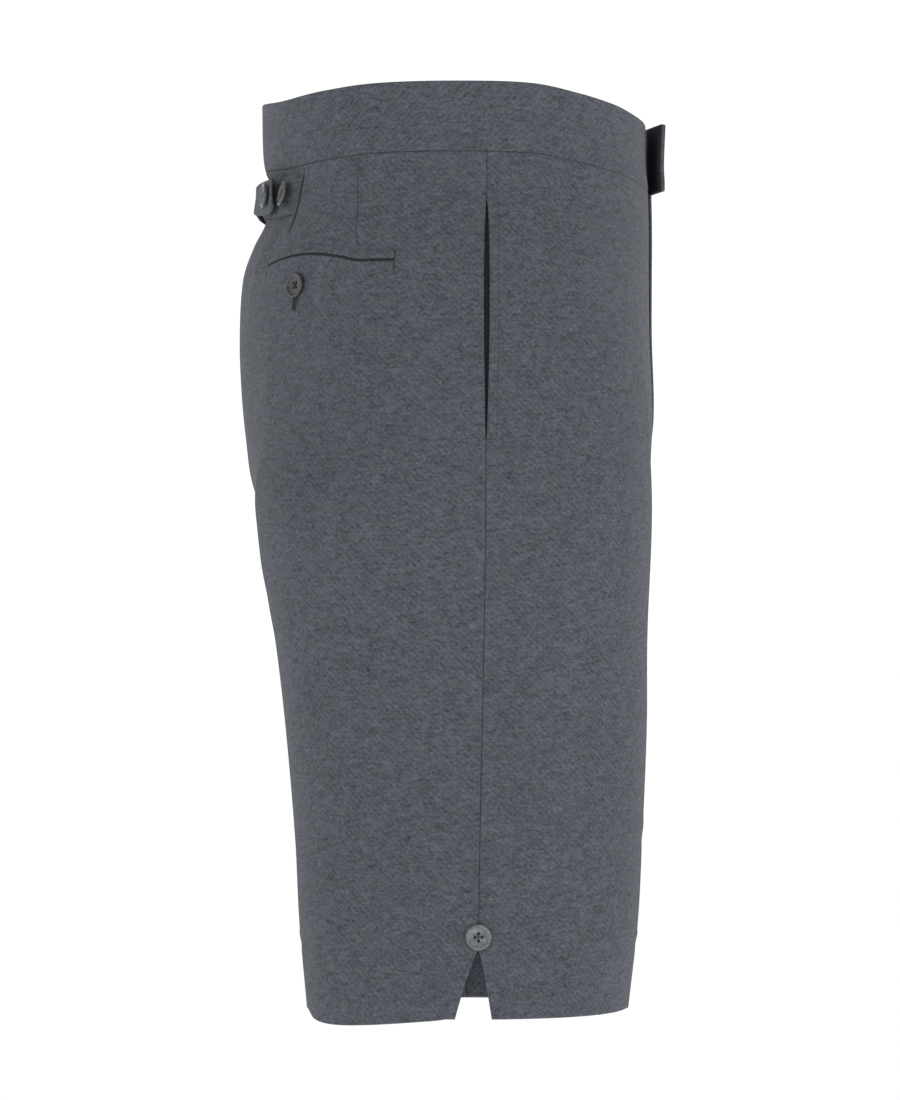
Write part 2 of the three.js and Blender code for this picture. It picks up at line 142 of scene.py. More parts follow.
BODY_SECTIONS = Table(
    "level side front back seam square_front square_back",
    (26, 147, -117.2, 116.8, -19.2, 2.3, 2.25),
    (-8, 147.5, -117.2, 116.2, -19.2, 2.3, 2.25),
    (-20, 148.6, -117.6, 114.6, -19.2, 2.3, 2.25),
    (-28, 149.8, -118.4, 111, -19.2, 2.35, 2.3),
    (-40, 152, -118.8, 111, -19.2, 2.35, 2.3),
    (-54, 155.8, -119, 115.4, -19.2, 2.4, 2.2),
    (-66, 159, -119, 121.8, -19.1, 2.45, 2.15),
    (-85, 163.5, -118.8, 128.4, -19, 2.5, 2.1),
    (-121, 170, -118.8, 130.4, -18.9, 2.7, 2.1),
    (-158, 174, -120.2, 128.8, -18.8, 3, 2.2),
    (-195, 176.5, -120.3, 125.2, -18.5, 3.3, 2.5),
    (-232, 177.5, -120, 122, -18.2, 3.6, 3.2),
    (-284, 177, -118.5, 113, -17.6, 3.6, 3),
    (-352, 174.6, -115, 104, -16.3, 3.2, 2.8),
)
LEG_SECTIONS = Table(
    "level inner outer crease front back inseam seam ridge",
    (-195, 0.01, 176.5, 96, -115.8, 122.5, 8, -18.5, 0.8),
    (-232, 0.01, 177.5, 96, -116, 117.6, 8, -18.2, 1.4),
    (-284, 0.01, 177, 95, -114.6, 110, 8, -17.6, 2),
    (-304, 2.6, 176.4, 95, -114.4, 105.8, 6, -17.2, 2.2),
    (-352, 8, 174.6, 95, -114.2, 99.8, 2, -16.3, 2.6),
    (-422, 15, 172.4, 95, -111.4, 93.4, -3, -15.1, 3),
    (-470, 19, 171, 95, -109.2, 91, -6, -14.3, 3),
    (-522, 22, 170, 95, -103.5, 86.6, -8, -14, 3),
)
RIM = Table(
    "round height",
    (0, 7.8),
    (0.14, 8.6),
    (0.25, 12.4),
    (0.33, 16.2),
    (0.4, 19.8),
    (0.48, 20.7),
    (0.6, 20.4),
    (0.68, 18.4),
    (0.76, 16.4),
    (0.84, 16.8),
    (1, 21.6),
)


@dataclass(frozen=True)
class WornForm:
    """The worn shape of the cloth, as functions of a place on it.

    A place is a half, a share across from the centre or inside leg seam (0) over the
    pressed edge (0.5) to the side seam (1), and a level in millimetres.
    """

    gap: float = 0.3
    seam: float = 0.02
    band_height: float = 41.0
    panel_top: float = -20.7
    warp_end: float = -110.0
    hem: float = -522.0
    fork: float = -284.0
    rise_turn: float = -195.0
    blend_top: float = -170.0
    blend_bottom: float = -352.0
    blend_across: float = 0.42
    widest_y: float = -8.0
    leg_square: float = 2.1
    crease_spread: float = 0.045
    crease_across: float = 0.5
    crease_top: float = -30.0
    crease_full: float = -190.0
    side_share: float = 0.47
    halvings: int = 24

    def leg_share(self, across: Array, z: Array) -> Array:
        """Share of leg shape at a place, none on the body and all of it down the leg.

        Args:
            across: Shares across the half.
            z: Levels.

        Returns:
            The share at each place, from 0 to 1.
        """
        t = np.clip((self.rise_turn - z) / (self.rise_turn - self.fork), 0.0, 1.0)
        centre = 1.0 - np.sqrt(1.0 - t * t)
        around = ease(-z, -self.blend_top, -self.blend_bottom)
        return blend(centre, around, ease(across, 0.0, self.blend_across))

    def body_point(self, z: Array, turn: Array) -> tuple[Array, Array]:
        """Point of the body's round.

        Args:
            z: Levels.
            turn: Turns from 0 at centre front to pi at centre back.

        Returns:
            Its x and its y.
        """
        to_front = np.cos(turn) >= 0.0
        front_reach = self.widest_y - BODY_SECTIONS.read("front", z)
        back_reach = BODY_SECTIONS.read("back", z) - self.widest_y
        square = np.where(
            to_front, BODY_SECTIONS.read("square_front", z), BODY_SECTIONS.read("square_back", z)
        )
        side = BODY_SECTIONS.read("side", z) - self.seam / 2
        x = self.seam / 2 + side * np.abs(np.sin(turn)) ** (2.0 / square)
        reach = np.where(to_front, -front_reach, back_reach)
        return x, self.widest_y + reach * np.abs(np.cos(turn)) ** (2.0 / square)

    def turn_at_x(self, z: Array, x: Array, half: Half) -> Array:
        """Turn at which the body's round reaches a distance from the middle plane.

        Args:
            z: Levels.
            x: Distances from the middle plane.
            half: Front or back.

        Returns:
            The turns.
        """
        square = BODY_SECTIONS.read("square_front" if half is Half.FRONT else "square_back", z)
        turn = np.arcsin(np.clip(x / BODY_SECTIONS.read("side", z), 0.0, 1.0) ** (square / 2.0))
        return turn if half is Half.FRONT else math.pi - turn

    def seam_turn(self, z: Array) -> Array:
        """Turn at which the side seam lies.

        Args:
            z: Levels.

        Returns:
            The turns.
        """
        reach = self.widest_y - BODY_SECTIONS.read("front", z)
        ahead = (self.widest_y - BODY_SECTIONS.read("seam", z)) / reach
        return np.arccos(ahead ** (BODY_SECTIONS.read("square_front", z) / 2.0))

    def surface(self, half: Half, across: Array, z: Array) -> Array:
        """Points of the outer cloth on the wearer's left.

        Args:
            half: Front or back.
            across: Shares across the half.
            z: Levels.

        Returns:
            An array of the same shape with x, y and z in its last axis.
        """
        across, z = np.broadcast_arrays(np.asarray(across, float), np.asarray(z, float))
        share = self.leg_share(across, z)
        sign = half.value
        low = np.minimum(z, self.rise_turn)

        def leg(name: str) -> Array:
            """Column of the leg's sections at these levels."""
            return LEG_SECTIONS.read(name, low)

        middle = 0.0 if half is Half.FRONT else math.pi
        crease = self.turn_at_x(z, leg("crease"), half)
        inner_share = across / self.crease_across
        outer_share = (across - self.crease_across) / (1.0 - self.crease_across)
        turn = np.where(
            inner_share < 1.0,
            blend(middle, crease, inner_share),
            blend(crease, self.seam_turn(z), outer_share),
        )
        x, y = self.body_point(z, turn)
        swing = math.pi * across
        near = np.cos(swing) > 0.0
        reach = np.where(near, leg("crease") - leg("inner"), leg("outer") - leg("crease"))
        base = blend(leg("inseam"), leg("seam"), across) + sign * self.seam / 2 * (1.0 - across)
        tip = leg(half.word) - sign * leg("ridge")
        power = 2.0 / self.leg_square
        leg_x = leg("crease") - np.sign(np.cos(swing)) * reach * np.abs(np.cos(swing)) ** power
        leg_y = blend(base, tip, np.clip(np.sin(swing), 0.0, 1.0) ** power)
        pressed = ease(-z, -self.crease_top, -self.crease_full)
        near_crease = np.exp(-np.abs(across - self.crease_across) / self.crease_spread)
        ridge = leg("ridge") * pressed * near_crease
        return np.stack([blend(x, leg_x, share), blend(y, leg_y, share) + sign * ridge, z], -1)

    def outward(self, half: Half, across: Array, z: Array) -> Array:
        """Outward directions of the cloth on the wearer's left.

        Args:
            half: Front or back.
            across: Shares across the half.
            z: Levels.

        Returns:
            Directions of length 1, with x, y and z in the last axis.
        """
        across, z = np.broadcast_arrays(np.asarray(across, float), np.asarray(z, float))
        step, drop = 0.01, 1.0
        ahead, behind = np.minimum(across + step, 1.0), np.maximum(across - step, 0.0)
        along = self.surface(half, ahead, z) - self.surface(half, behind, z)
        down = self.surface(half, across, z - drop) - self.surface(half, across, z + drop)
        normal = np.cross(down, along) if half is Half.FRONT else np.cross(along, down)
        return normal / np.linalg.norm(normal, axis=-1, keepdims=True)

    def skin(self, side: Side, half: Half, across: Array, z: Array, out: Array | float = 0.0) -> Array:
        """Points a distance out from the cloth, on either side of the wearer.

        Args:
            side: Side of the wearer.
            half: Front or back.
            across: Shares across the half.
            z: Levels.
            out: Distances out from the cloth.

        Returns:
            The points.
        """
        distance = np.asarray(out, float)[..., None]
        points = self.surface(half, across, z) + self.outward(half, across, z) * distance
        points[..., 0] *= side.value
        return points

    def direction(self, side: Side, half: Half, across: Array, z: Array) -> Array:
        """Outward directions on either side of the wearer.

        Args:
            side: Side of the wearer.
            half: Front or back.
            across: Shares across the half.
            z: Levels.

        Returns:
            Directions of length 1.
        """
        normal = self.outward(half, across, z)
        normal[..., 0] *= side.value
        return normal

    def across_at_x(self, half: Half, x: Array, z: Array) -> Array:
        """Share across at which the cloth reaches a distance from the middle plane.

        Args:
            half: Front or back.
            x: Distances from the middle plane.
            z: Levels.

        Returns:
            The shares, found by halving.
        """
        x, z = np.broadcast_arrays(np.asarray(x, float), np.asarray(z, float))
        low, high = np.zeros(x.shape), np.ones(x.shape)
        for _ in range(self.halvings):
            middle = (low + high) / 2.0
            inside = self.surface(half, middle, z)[..., 0] < x
            low, high = np.where(inside, middle, low), np.where(inside, high, middle)
        return (low + high) / 2.0

    def rim(self, half: Half, across: Array) -> Array:
        """Height of the waistband's top edge.

        Args:
            half: Front or back.
            across: Shares across the half.

        Returns:
            The heights.
        """
        front = np.asarray(across, float) * self.side_share
        back = 1.0 - np.asarray(across, float) * (1.0 - self.side_share)
        return RIM.read("height", front if half is Half.FRONT else back)

    def panel_level(self, half: Half, across: Array, level: Array) -> Array:
        """Level of a panel point: the upper rows follow the waistband seam."""
        drop = self.rim(half, across) - self.band_height - self.panel_top
        return level + drop * (1.0 - ease(-level, -self.panel_top, -self.warp_end))


FORM = WornForm()


def linked(name: str, data: bpy.types.ID) -> bpy.types.Object:
    """Makes an object and links it to the scene.

    Args:
        name: The object's name.
        data: Its mesh, light or camera.

    Returns:
        The object.
    """
    made = bpy.data.objects.new(name, data)
    bpy.context.scene.collection.objects.link(made)
    return made


def shade_smooth(mesh: bpy.types.Mesh) -> None:
    """Shades all the faces of a mesh smooth."""
    mesh.polygons.foreach_set("use_smooth", [True] * len(mesh.polygons))


def write_mesh(name: str, points: Array, faces: Array, uv: Array) -> bpy.types.Object:
    """Makes an object from points in millimetres, with its faces turned outwards.

    Args:
        name: The object's name.
        points: One row for each point.
        faces: One row of point numbers for each four-sided face.
        uv: One row for each point, in millimetres.

    Returns:
        The object, linked to the scene and shaded smooth.
    """
    first, second, third, fourth = (points[faces[:, corner]] for corner in range(4))
    volume = np.sum(first * np.cross(second, third)) + np.sum(first * np.cross(third, fourth))
    if volume < 0.0:
        faces = faces[:, ::-1]
    mesh = bpy.data.meshes.new(name)
    mesh.from_pydata((points * MM).tolist(), [], faces.tolist())
    shade_smooth(mesh)
    layer = mesh.uv_layers.new(name=UV_NAME)
    corners = np.empty(len(mesh.loops), dtype=np.int32)
    mesh.loops.foreach_get("vertex_index", corners)
    layer.data.foreach_set("uv", (uv[corners] * MM).ravel())
    mesh.update()
    return linked(name, mesh)


def shell(name: str, outer: Array, inner: Array, uv: Array) -> bpy.types.Object:
    """Closed sheet between an outer and an inner grid of points.

    Args:
        name: The object's name.
        outer: Rows and columns of points in millimetres.
        inner: The same for the other face.
        uv: Rows and columns of places on the flat cloth, in millimetres.

    Returns:
        The object. Its outer faces come first, then its inner faces, then its edge.
    """
    rows, columns = outer.shape[:2]
    number = np.arange(rows * columns).reshape(rows, columns)
    corners = [number[:-1, :-1], number[1:, :-1], number[1:, 1:], number[:-1, 1:]]
    quads = np.stack(corners, -1).reshape(-1, 4)
    under = rows * columns
    edge = np.concatenate([number[:, 0], number[-1, 1:], number[-2::-1, -1], number[0, -2:0:-1]])
    after = np.roll(edge, -1)
    rim = np.stack([edge, edge + under, after + under, after], -1)
    faces = np.concatenate([quads, quads[:, ::-1] + under, rim])
    points = np.concatenate([outer.reshape(-1, 3), inner.reshape(-1, 3)])
    flat = np.concatenate([uv.reshape(-1, 2), uv.reshape(-1, 2)])
    return write_mesh(name, points, faces, flat)


def paint_shade_inside(
    piece: bpy.types.Object, size: tuple[int, int], chosen: Array, shade_finish: bpy.types.Material
) -> None:
    """Paints shade on some columns of a sheet's inner face with a near-black finish.

    Args:
        piece: A sheet made by shell, with its own finish.
        size: How many rows and columns of points it has.
        chosen: Which of its columns of faces get the painted shade.
        shade_finish: The near-black finish that paints the shade.
    """
    piece.data.materials.append(shade_finish)
    rows, columns = size[0] - 1, size[1] - 1
    finish = np.zeros(len(piece.data.polygons), dtype=np.int32)
    finish[rows * columns : 2 * rows * columns].reshape(rows, columns)[:, chosen] = 1
    piece.data.polygons.foreach_set("material_index", finish)


def spread(length: float, spacing: float, fine: Sequence[float]) -> Array:
    """Places along a length: close together at both ends and even between them.

    Args:
        length: The whole length.
        spacing: About how far apart the even places are.
        fine: Distances from each end.

    Returns:
        The places in rising order.
    """
    start, end = fine[-1], length - fine[-1]
    count = max(int(round((end - start) / spacing)), 2)
    even = np.linspace(start, end, count + 1)
    return np.concatenate([fine[:-1], even, length - np.array(fine[-2::-1])])


EDGE_STEPS = (0.0, 0.12, 0.35, 0.7, 1.1, 1.7, 2.8)
EDGE_ROUND = 0.94


def rounded(distance: Array, thickness: float) -> Array:
    """How far a folded or seamed edge turns in.

    Args:
        distance: Distances from the edge.
        thickness: The cloth's thickness.

    Returns:
        How far both faces turn in at those distances.
    """
    half = thickness / 2.0
    short = np.clip(half - distance, 0.0, half)
    return EDGE_ROUND * (half - np.sqrt(np.maximum(half * half - short * short, 0.0)))


@dataclass(frozen=True)
class Fold:
    """A soft trough (height below 0) or ridge in the cloth, between two places."""

    half: Half
    start: tuple[float, float]
    end: tuple[float, float]
    height: float
    width: float
    side: Side | None = None
    round: float = 240.0
    tip: float = 0.08
    taper: float = 0.6

    def relief(self, side: Side, half: Half, across: Array, z: Array) -> Array:
        """How far this fold moves the cloth out.

        Args:
            side: Side of the wearer.
            half: Front or back.
            across: Shares across the half.
            z: Levels.

        Returns:
            The distances, none on a panel that the fold isn't on.
        """
        if half is not self.half or self.side not in (None, side):
            return np.zeros(np.broadcast(across, z).shape)
        place = np.stack(np.broadcast_arrays(across * self.round, z), -1)
        start = np.array([self.start[0] * self.round, self.start[1]])
        line = np.array([self.end[0] * self.round, self.end[1]]) - start
        length = np.linalg.norm(line)
        along = (place - start) @ (line / length) / length
        off = np.linalg.norm(place - start - np.clip(along, 0.0, 1.0)[..., None] * line, axis=-1)
        narrow = np.sin(math.pi * np.clip(along, self.tip, 1.0 - self.tip)) ** self.taper
        return self.height * np.exp(-((off / self.width) ** 2)) * narrow


FOLDS = (
    Fold(Half.FRONT, (0.4, -412), (0.84, -424), 0.6, 5.0, Side.RIGHT),
    Fold(Half.FRONT, (0.44, -419), (0.88, -431), -0.6, 6.0, Side.RIGHT),
    Fold(Half.BACK, (0.36, -62), (0.3, -108), 1.1, 7.0, Side.RIGHT),
    Fold(Half.BACK, (0.44, -60), (0.4, -74), -0.7, 6.0, Side.RIGHT),
    Fold(Half.BACK, (0.2, -250), (0.62, -226), -0.9, 15.0),
    Fold(Half.BACK, (0.16, -272), (0.56, -262), 0.7, 12.0),
    Fold(Half.BACK, (0.1, -304), (0.46, -282), -0.8, 13.0),
    Fold(Half.FRONT, (0.02, -214), (0.3, -190), -0.8, 10.0),
    Fold(Half.FRONT, (0.04, -246), (0.36, -222), 0.6, 11.0),
    Fold(Half.FRONT, (0.05, -276), (0.3, -262), -0.7, 10.0),
    Fold(Half.FRONT, (0.6, -120), (0.9, -196), 0.5, 16.0),
    Fold(Half.BACK, (0.64, -150), (0.86, -238), -0.5, 20.0),
    Fold(Half.BACK, (0.56, -330), (0.82, -420), 0.45, 22.0),
    Fold(Half.FRONT, (0.62, -340), (0.84, -424), -0.4, 20.0, Side.RIGHT),
    Fold(Half.FRONT, (0.6, -380), (0.88, -352), 0.4, 18.0, Side.LEFT),
    Fold(Half.FRONT, (0.42, -438), (0.86, -404), -0.5, 6.0, Side.LEFT),
)


@dataclass(frozen=True)
class Unevenness:
    """Slow waves in hanging cloth, the same on every run, and none by the waistband."""

    height: float = 0.8
    waves: int = 9
    turns: float = 11.0
    drop: float = 26.0
    top: float = -40.0
    full: float = -130.0
    first_seed: int = 11
    seed_step: int = 3

    def relief(self, side: Side, half: Half, across: Array, z: Array) -> Array:
        """How far the waves move the cloth out.

        Args:
            side: Side of the wearer.
            half: Front or back.
            across: Shares across the half.
            z: Levels.

        Returns:
            The distances.
        """
        chance = np.random.default_rng(self.first_seed + side.value * self.seed_step + half.value)
        total = np.zeros(np.broadcast(across, z).shape)
        for _ in range(self.waves):
            wave = chance.uniform(-1.0, 1.0, 2)
            phase = chance.uniform(0.0, 2.0 * math.pi)
            total = total + np.sin(across * self.turns * wave[0] + z / self.drop * wave[1] + phase)
        return self.height * total / self.waves * ease(-z, -self.top, -self.full)


@dataclass(frozen=True)
class HemRidge:
    """Ridge where the turning inside the hem ends, with a dip below it."""

    level: float = -478.0
    height: float = 0.4
    spread: float = 2.4
    dip_level: float = -484.0
    dip: float = 0.25
    dip_spread: float = 3.0

    def relief(self, z: Array) -> Array:
        """How far the cloth stands out at levels."""
        ridge = self.height * np.exp(-(((z - self.level) / self.spread) ** 2))
        return ridge - self.dip * np.exp(-(((z - self.dip_level) / self.dip_spread) ** 2))


@dataclass(frozen=True)
class Mouth:
    """Opening of the side pocket in the side seam."""

    top: float = -49.0
    bottom: float = -189.0
    front: float = 2.6
    back: float = 2.1
    lift: float = 1.4
    power: float = 0.55
    lean: float = 0.8
    foot: float = 0.35

    def open(self, z: Array) -> Array:
        """Share of the full opening at levels."""
        t = np.clip((z - self.bottom) / (self.top - self.bottom), 0.0, 1.0)
        return np.sin(math.pi * t**self.lean) ** self.power * blend(self.foot, 1.0, t)


@dataclass(frozen=True)
class Vent:
    """Slit at the side of the hem."""

    top: float = -482.0
    front: float = 7.9
    back: float = 13.3
    curve: float = 0.8

    def open(self, z: Array) -> Array:
        """Share of the full opening at levels."""
        t = np.clip((self.top - z) / (self.top - FORM.hem), 0.0, 1.0)
        return t**self.curve


@dataclass(frozen=True)
class Droop:
    """Sag of the hem behind each side seam."""

    depth: float = 6.2
    start: float = 0.5
    end: float = 0.96
    lean: float = 0.65
    soft_from: float = -0.05
    soft_to: float = 0.14
    top: float = -486.0

    def drop(self, half: Half, across: Array, z: Array) -> Array:
        """How far the hem hangs lower.

        Args:
            half: Front or back.
            across: Shares across the half.
            z: Levels.

        Returns:
            The distances, none on a front.
        """
        if half is Half.FRONT:
            return np.zeros(np.broadcast(across, z).shape)
        t = np.clip((across - self.start) / (self.end - self.start), 0.0, 1.0)
        sag = self.depth * np.sin(math.pi * t**self.lean) * ease(t, self.soft_from, self.soft_to)
        return sag * ease(-z, -self.top, -FORM.hem)


@dataclass(frozen=True)
class Fly:
    """Lap of the left front over the right one."""

    lap: float = 7.0
    curve_top: float = -118.0
    end: float = -166.0
    near: float = 0.015
    far: float = 0.08
    edge: float = 0.02

    def lift(self, across: Array, z: Array, wall: float) -> Array:
        """How far the lapping edge stands forward of the other front."""
        fade = 1.0 - ease(-z, -self.end, -FORM.rise_turn)
        return (wall + FORM.gap) * (1.0 - ease(across, self.near, self.far)) * fade

    def reach(self, across: Array, z: Array) -> Array:
        """How far the edge passes the middle plane.

        Args:
            across: Shares across the front.
            z: Levels.

        Returns:
            The distances, less where the lap curves in at its foot.
        """
        curve = np.clip((self.curve_top - z) / (self.curve_top - self.end), 0.0, 1.0)
        near = 1.0 - ease(across, 0.0, self.edge)
        return (self.lap + FORM.gap / 2) * np.sqrt(1.0 - curve * curve) * near


class Value:
    """A number socket that can stand in sums."""

    def __init__(self, tree: "NodeTree", socket: bpy.types.NodeSocket) -> None:
        """Keeps the socket and the tree that it belongs to."""
        self.tree = tree
        self.socket = socket

    def _math(self, operation: str, *values: "Value | float") -> "Value":
        """Adds a Math node for an operation on values."""
        made = self.tree.node("ShaderNodeMath", {"operation": operation}, dict(enumerate(values)))
        return Value(self.tree, made.outputs[0])

    def __add__(self, other: "Value | float") -> "Value":
        """Sum."""
        return self._math("ADD", self, other)

    __radd__ = __add__

    def __sub__(self, other: "Value | float") -> "Value":
        """Difference."""
        return self._math("SUBTRACT", self, other)

    def __rsub__(self, other: "Value | float") -> "Value":
        """Difference from a number."""
        return self._math("SUBTRACT", other, self)

    def __mul__(self, other: "Value | float") -> "Value":
        """Product."""
        return self._math("MULTIPLY", self, other)

    __rmul__ = __mul__

    def clamped(self, low: float = 0.0, high: float = 1.0) -> "Value":
        """The value kept between two numbers."""
        return self._math("MAXIMUM", self._math("MINIMUM", self, high), low)


Colour = tuple[float, float, float]
WHITE: Colour = (1.0, 1.0, 1.0)
Stops = Sequence[tuple[float, Colour]]
Setting = str | float | int | bool | Stops
Input = Value | bpy.types.NodeSocket | float | tuple[float, ...]


def tinted(colour: Colour, factor: float) -> Colour:
    """A colour made lighter or darker."""
    return tuple(part * factor for part in colour)


def opaque(colour: Colour) -> tuple[float, ...]:
    """A colour with the full alpha that sockets and stops ask for."""
    return (*colour, 1.0)


class NodeTree:
    """A tree of nodes, which are all made in one way."""

    def __init__(self, tree: bpy.types.NodeTree) -> None:
        """Keeps the tree."""
        self.tree = tree

    def node(
        self,
        kind: str,
        settings: dict[str, Setting] | None = None,
        inputs: dict[str | int, Input] | None = None,
    ) -> bpy.types.Node:
        """Adds a node.

        Args:
            kind: The node's type.
            settings: Its properties and the stops of its ramp, set first.
            inputs: Values or links by socket name or number.

        Returns:
            The node.
        """
        made = self.tree.nodes.new(kind)
        for name, setting in (settings or {}).items():
            if name == "stops":
                self.set_stops(made.color_ramp.elements, setting)
            else:
                setattr(made, name, setting)
        for name, given in (inputs or {}).items():
            self.feed(made.inputs[name], given)
        return made

    def set_stops(self, elements: bpy.types.ColorRampElements, stops: Stops) -> None:
        """Gives a ramp its stops of place and colour.

        Args:
            elements: The ramp's elements.
            stops: The stops in rising order.
        """
        while len(elements) < len(stops):
            elements.new(1.0)
        for element, (place, colour) in zip(elements, stops):
            element.position = place
            element.color = opaque(colour)

    def feed(self, socket: bpy.types.NodeSocket, given: Input) -> None:
        """Links or sets one socket.

        Args:
            socket: The socket.
            given: What it takes.
        """
        if isinstance(given, Value):
            given = given.socket
        if isinstance(given, bpy.types.NodeSocket):
            self.tree.links.new(given, socket)
        else:
            socket.default_value = given


@dataclass(frozen=True)
class Grain:
    """One layer of noise, in waves a metre, with its turn in degrees and its share in a sum."""

    scale: tuple[float, ...]
    turn: float = 0.0
    zoom: float = 1.0
    detail: float = 2.0
    rough: float = 0.5
    weight: float = 1.0


class Graph(NodeTree):
    """A material's nodes."""

    def __init__(self, name: str) -> None:
        """Starts a material with a Principled shader.

        Args:
            name: The material's name.
        """
        self.material = bpy.data.materials.new(name)
        self.material.use_nodes = True
        super().__init__(self.material.node_tree)
        self.tree.nodes.clear()
        self.shader = self.node("ShaderNodeBsdfPrincipled")
        self.node("ShaderNodeOutputMaterial", None, {0: self.shader.outputs[0]})

    def ramp(self, factor: Value, stops: Stops) -> bpy.types.NodeSocket:
        """Colour from a value, by stops of place and colour."""
        return self.node("ShaderNodeValToRGB", {"stops": stops}, {0: factor}).outputs[0]

    def mix(self, kind: str, factor: Input, first: Input, second: Input) -> bpy.types.NodeSocket:
        """Mix of two colours."""
        settings = {"data_type": "RGBA", "blend_type": kind}
        return self.node("ShaderNodeMix", settings, {0: factor, 6: first, 7: second}).outputs[2]

    def place(self, source: Input, scale: tuple[float, ...], turn: float = 0.0) -> bpy.types.NodeSocket:
        """A vector scaled, and turned about its third axis by degrees."""
        inputs = {"Vector": source, "Scale": scale, "Rotation": (0.0, 0.0, math.radians(turn))}
        return self.node("ShaderNodeMapping", {"vector_type": "POINT"}, inputs).outputs[0]

    def noise(self, source: Input, grain: Grain) -> Value:
        """Noise between 0 and 1.

        Args:
            source: The places to read it at.
            grain: Its sizes.

        Returns:
            The noise.
        """
        vector = self.place(source, grain.scale, grain.turn)
        inputs = {"Vector": vector, "Scale": grain.zoom}
        inputs |= {"Detail": grain.detail, "Roughness": grain.rough}
        return Value(self, self.node("ShaderNodeTexNoise", None, inputs).outputs[0])

    def bump(self, height: Value, distance: float, strength: float = 1.0) -> bpy.types.NodeSocket:
        """Normal from a height in metres times distance."""
        inputs = {"Height": height, "Distance": distance, "Strength": strength}
        return self.node("ShaderNodeBump", None, inputs).outputs[0]

    def finish(self, **inputs: Input) -> bpy.types.Material:
        """Feeds the shader.

        Args:
            inputs: What its sockets take, named with underscores for spaces.

        Returns:
            The material.
        """
        for name, given in inputs.items():
            self.feed(self.shader.inputs[name.replace("_", " ")], given)
        return self.material


@dataclass(frozen=True)
class WoolCloth:
    """Blue-grey wool with a fine fleck, read from the cloth's own flat places."""

    name: str = "wool cloth"
    base: Colour = (0.0937, 0.102, 0.1195)
    warm: Colour = (0.0935, 0.1030, 0.1152)
    cool: Colour = (0.0912, 0.1008, 0.1248)
    pale: Colour = (0.24, 0.252, 0.28)
    hue_stops: tuple[float, float, float] = (0.36, 0.5, 0.64)
    range: float = 0.75
    roughness: float = 0.9
    sheen: float = 0.08
    sheen_roughness: float = 0.45
    specular: float = 0.2
    fleck: Grain = Grain((540.0, 640.0, 1.0), -20.0, detail=3.0, rough=0.65, weight=1.25)
    slub: Grain = Grain((210.0, 290.0, 1.0), -28.0, weight=0.62)
    streak: Grain = Grain((100.0, 640.0, 1.0), rough=0.6, weight=0.52)
    patch: Grain = Grain((78.0, 96.0, 1.0), detail=1.0, weight=0.26)
    cloud: Grain = Grain((30.0, 26.0, 1.0), detail=1.0, weight=0.1)
    weave: Grain = Grain((1500.0, 2100.0, 1.0), rough=0.6)
    tint: Grain = Grain((60.0, 96.0, 1.0), zoom=1.3, detail=3.0, rough=0.75)
    speck: Grain = Grain((520.0, 860.0, 1.0), zoom=1.7, detail=1.0)
    rib_turn: float = 42.0
    rib_scale: float = 110.0
    rib_weight: float = 0.1
    rib_distortion: float = 1.4
    rib_detail: float = 1.0
    rib_detail_scale: float = 3.0
    hair_from: float = 0.68
    hair_slope: float = 9.0
    hair_share: float = 0.35
    relief: tuple[float, float, float] = (0.6, 0.5, 0.4)
    bump: float = 0.0004
    bump_strength: float = 0.9

    def twill(self, graph: Graph, flat: bpy.types.NodeSocket) -> Value:
        """Slanting ribs of the weave.

        Args:
            graph: The material's nodes.
            flat: Places on the flat cloth.

        Returns:
            The ribs' height between 0 and 1.
        """
        ribs = {"Vector": graph.place(flat, (1.0, 1.0, 1.0), self.rib_turn), "Scale": self.rib_scale}
        ribs |= {"Distortion": self.rib_distortion, "Detail": self.rib_detail}
        ribs["Detail Scale"] = self.rib_detail_scale
        return Value(graph, graph.node("ShaderNodeTexWave", {"bands_direction": "Y"}, ribs).outputs[1])

    def build(self) -> bpy.types.Material:
        """Makes the material.

        Returns:
            The material.
        """
        graph = Graph(self.name)
        flat = graph.node("ShaderNodeUVMap", {"uv_map": UV_NAME}).outputs[0]
        grains = (self.fleck, self.slub, self.streak, self.patch, self.cloud)
        layers = [graph.noise(flat, grain) for grain in grains]
        tone = 0.5
        for layer, grain in zip(layers, grains):
            tone = tone + (layer - 0.5) * grain.weight
        tone = (tone + (self.twill(graph, flat) - 0.5) * self.rib_weight).clamped()
        hues = tuple(zip(self.hue_stops, (self.warm, self.base, self.cool)))
        hue = graph.ramp(graph.noise(flat, self.tint), hues)
        low, high = 1.0 - self.range, 1.0 + self.range
        shade = graph.ramp(tone, ((0.0, (low / high,) * 3), (1.0, WHITE)))
        bright = graph.mix("MULTIPLY", 1.0, hue, opaque((high,) * 3))
        colour = graph.mix("MULTIPLY", 1.0, bright, shade)
        speck = graph.noise(flat, self.speck)
        hair = ((speck - self.hair_from) * self.hair_slope).clamped() * self.hair_share
        colour = graph.mix("MIX", hair, colour, opaque(self.pale))
        fleck, slub, weave = layers[0], layers[1], graph.noise(flat, self.weave)
        height = fleck * self.relief[0] + slub * self.relief[1] + weave * self.relief[2]
        return graph.finish(
            Base_Color=colour,
            Roughness=self.roughness,
            Sheen_Weight=self.sheen,
            Sheen_Roughness=self.sheen_roughness,
            Specular_IOR_Level=self.specular,
            Normal=graph.bump(height, self.bump, self.bump_strength),
        )


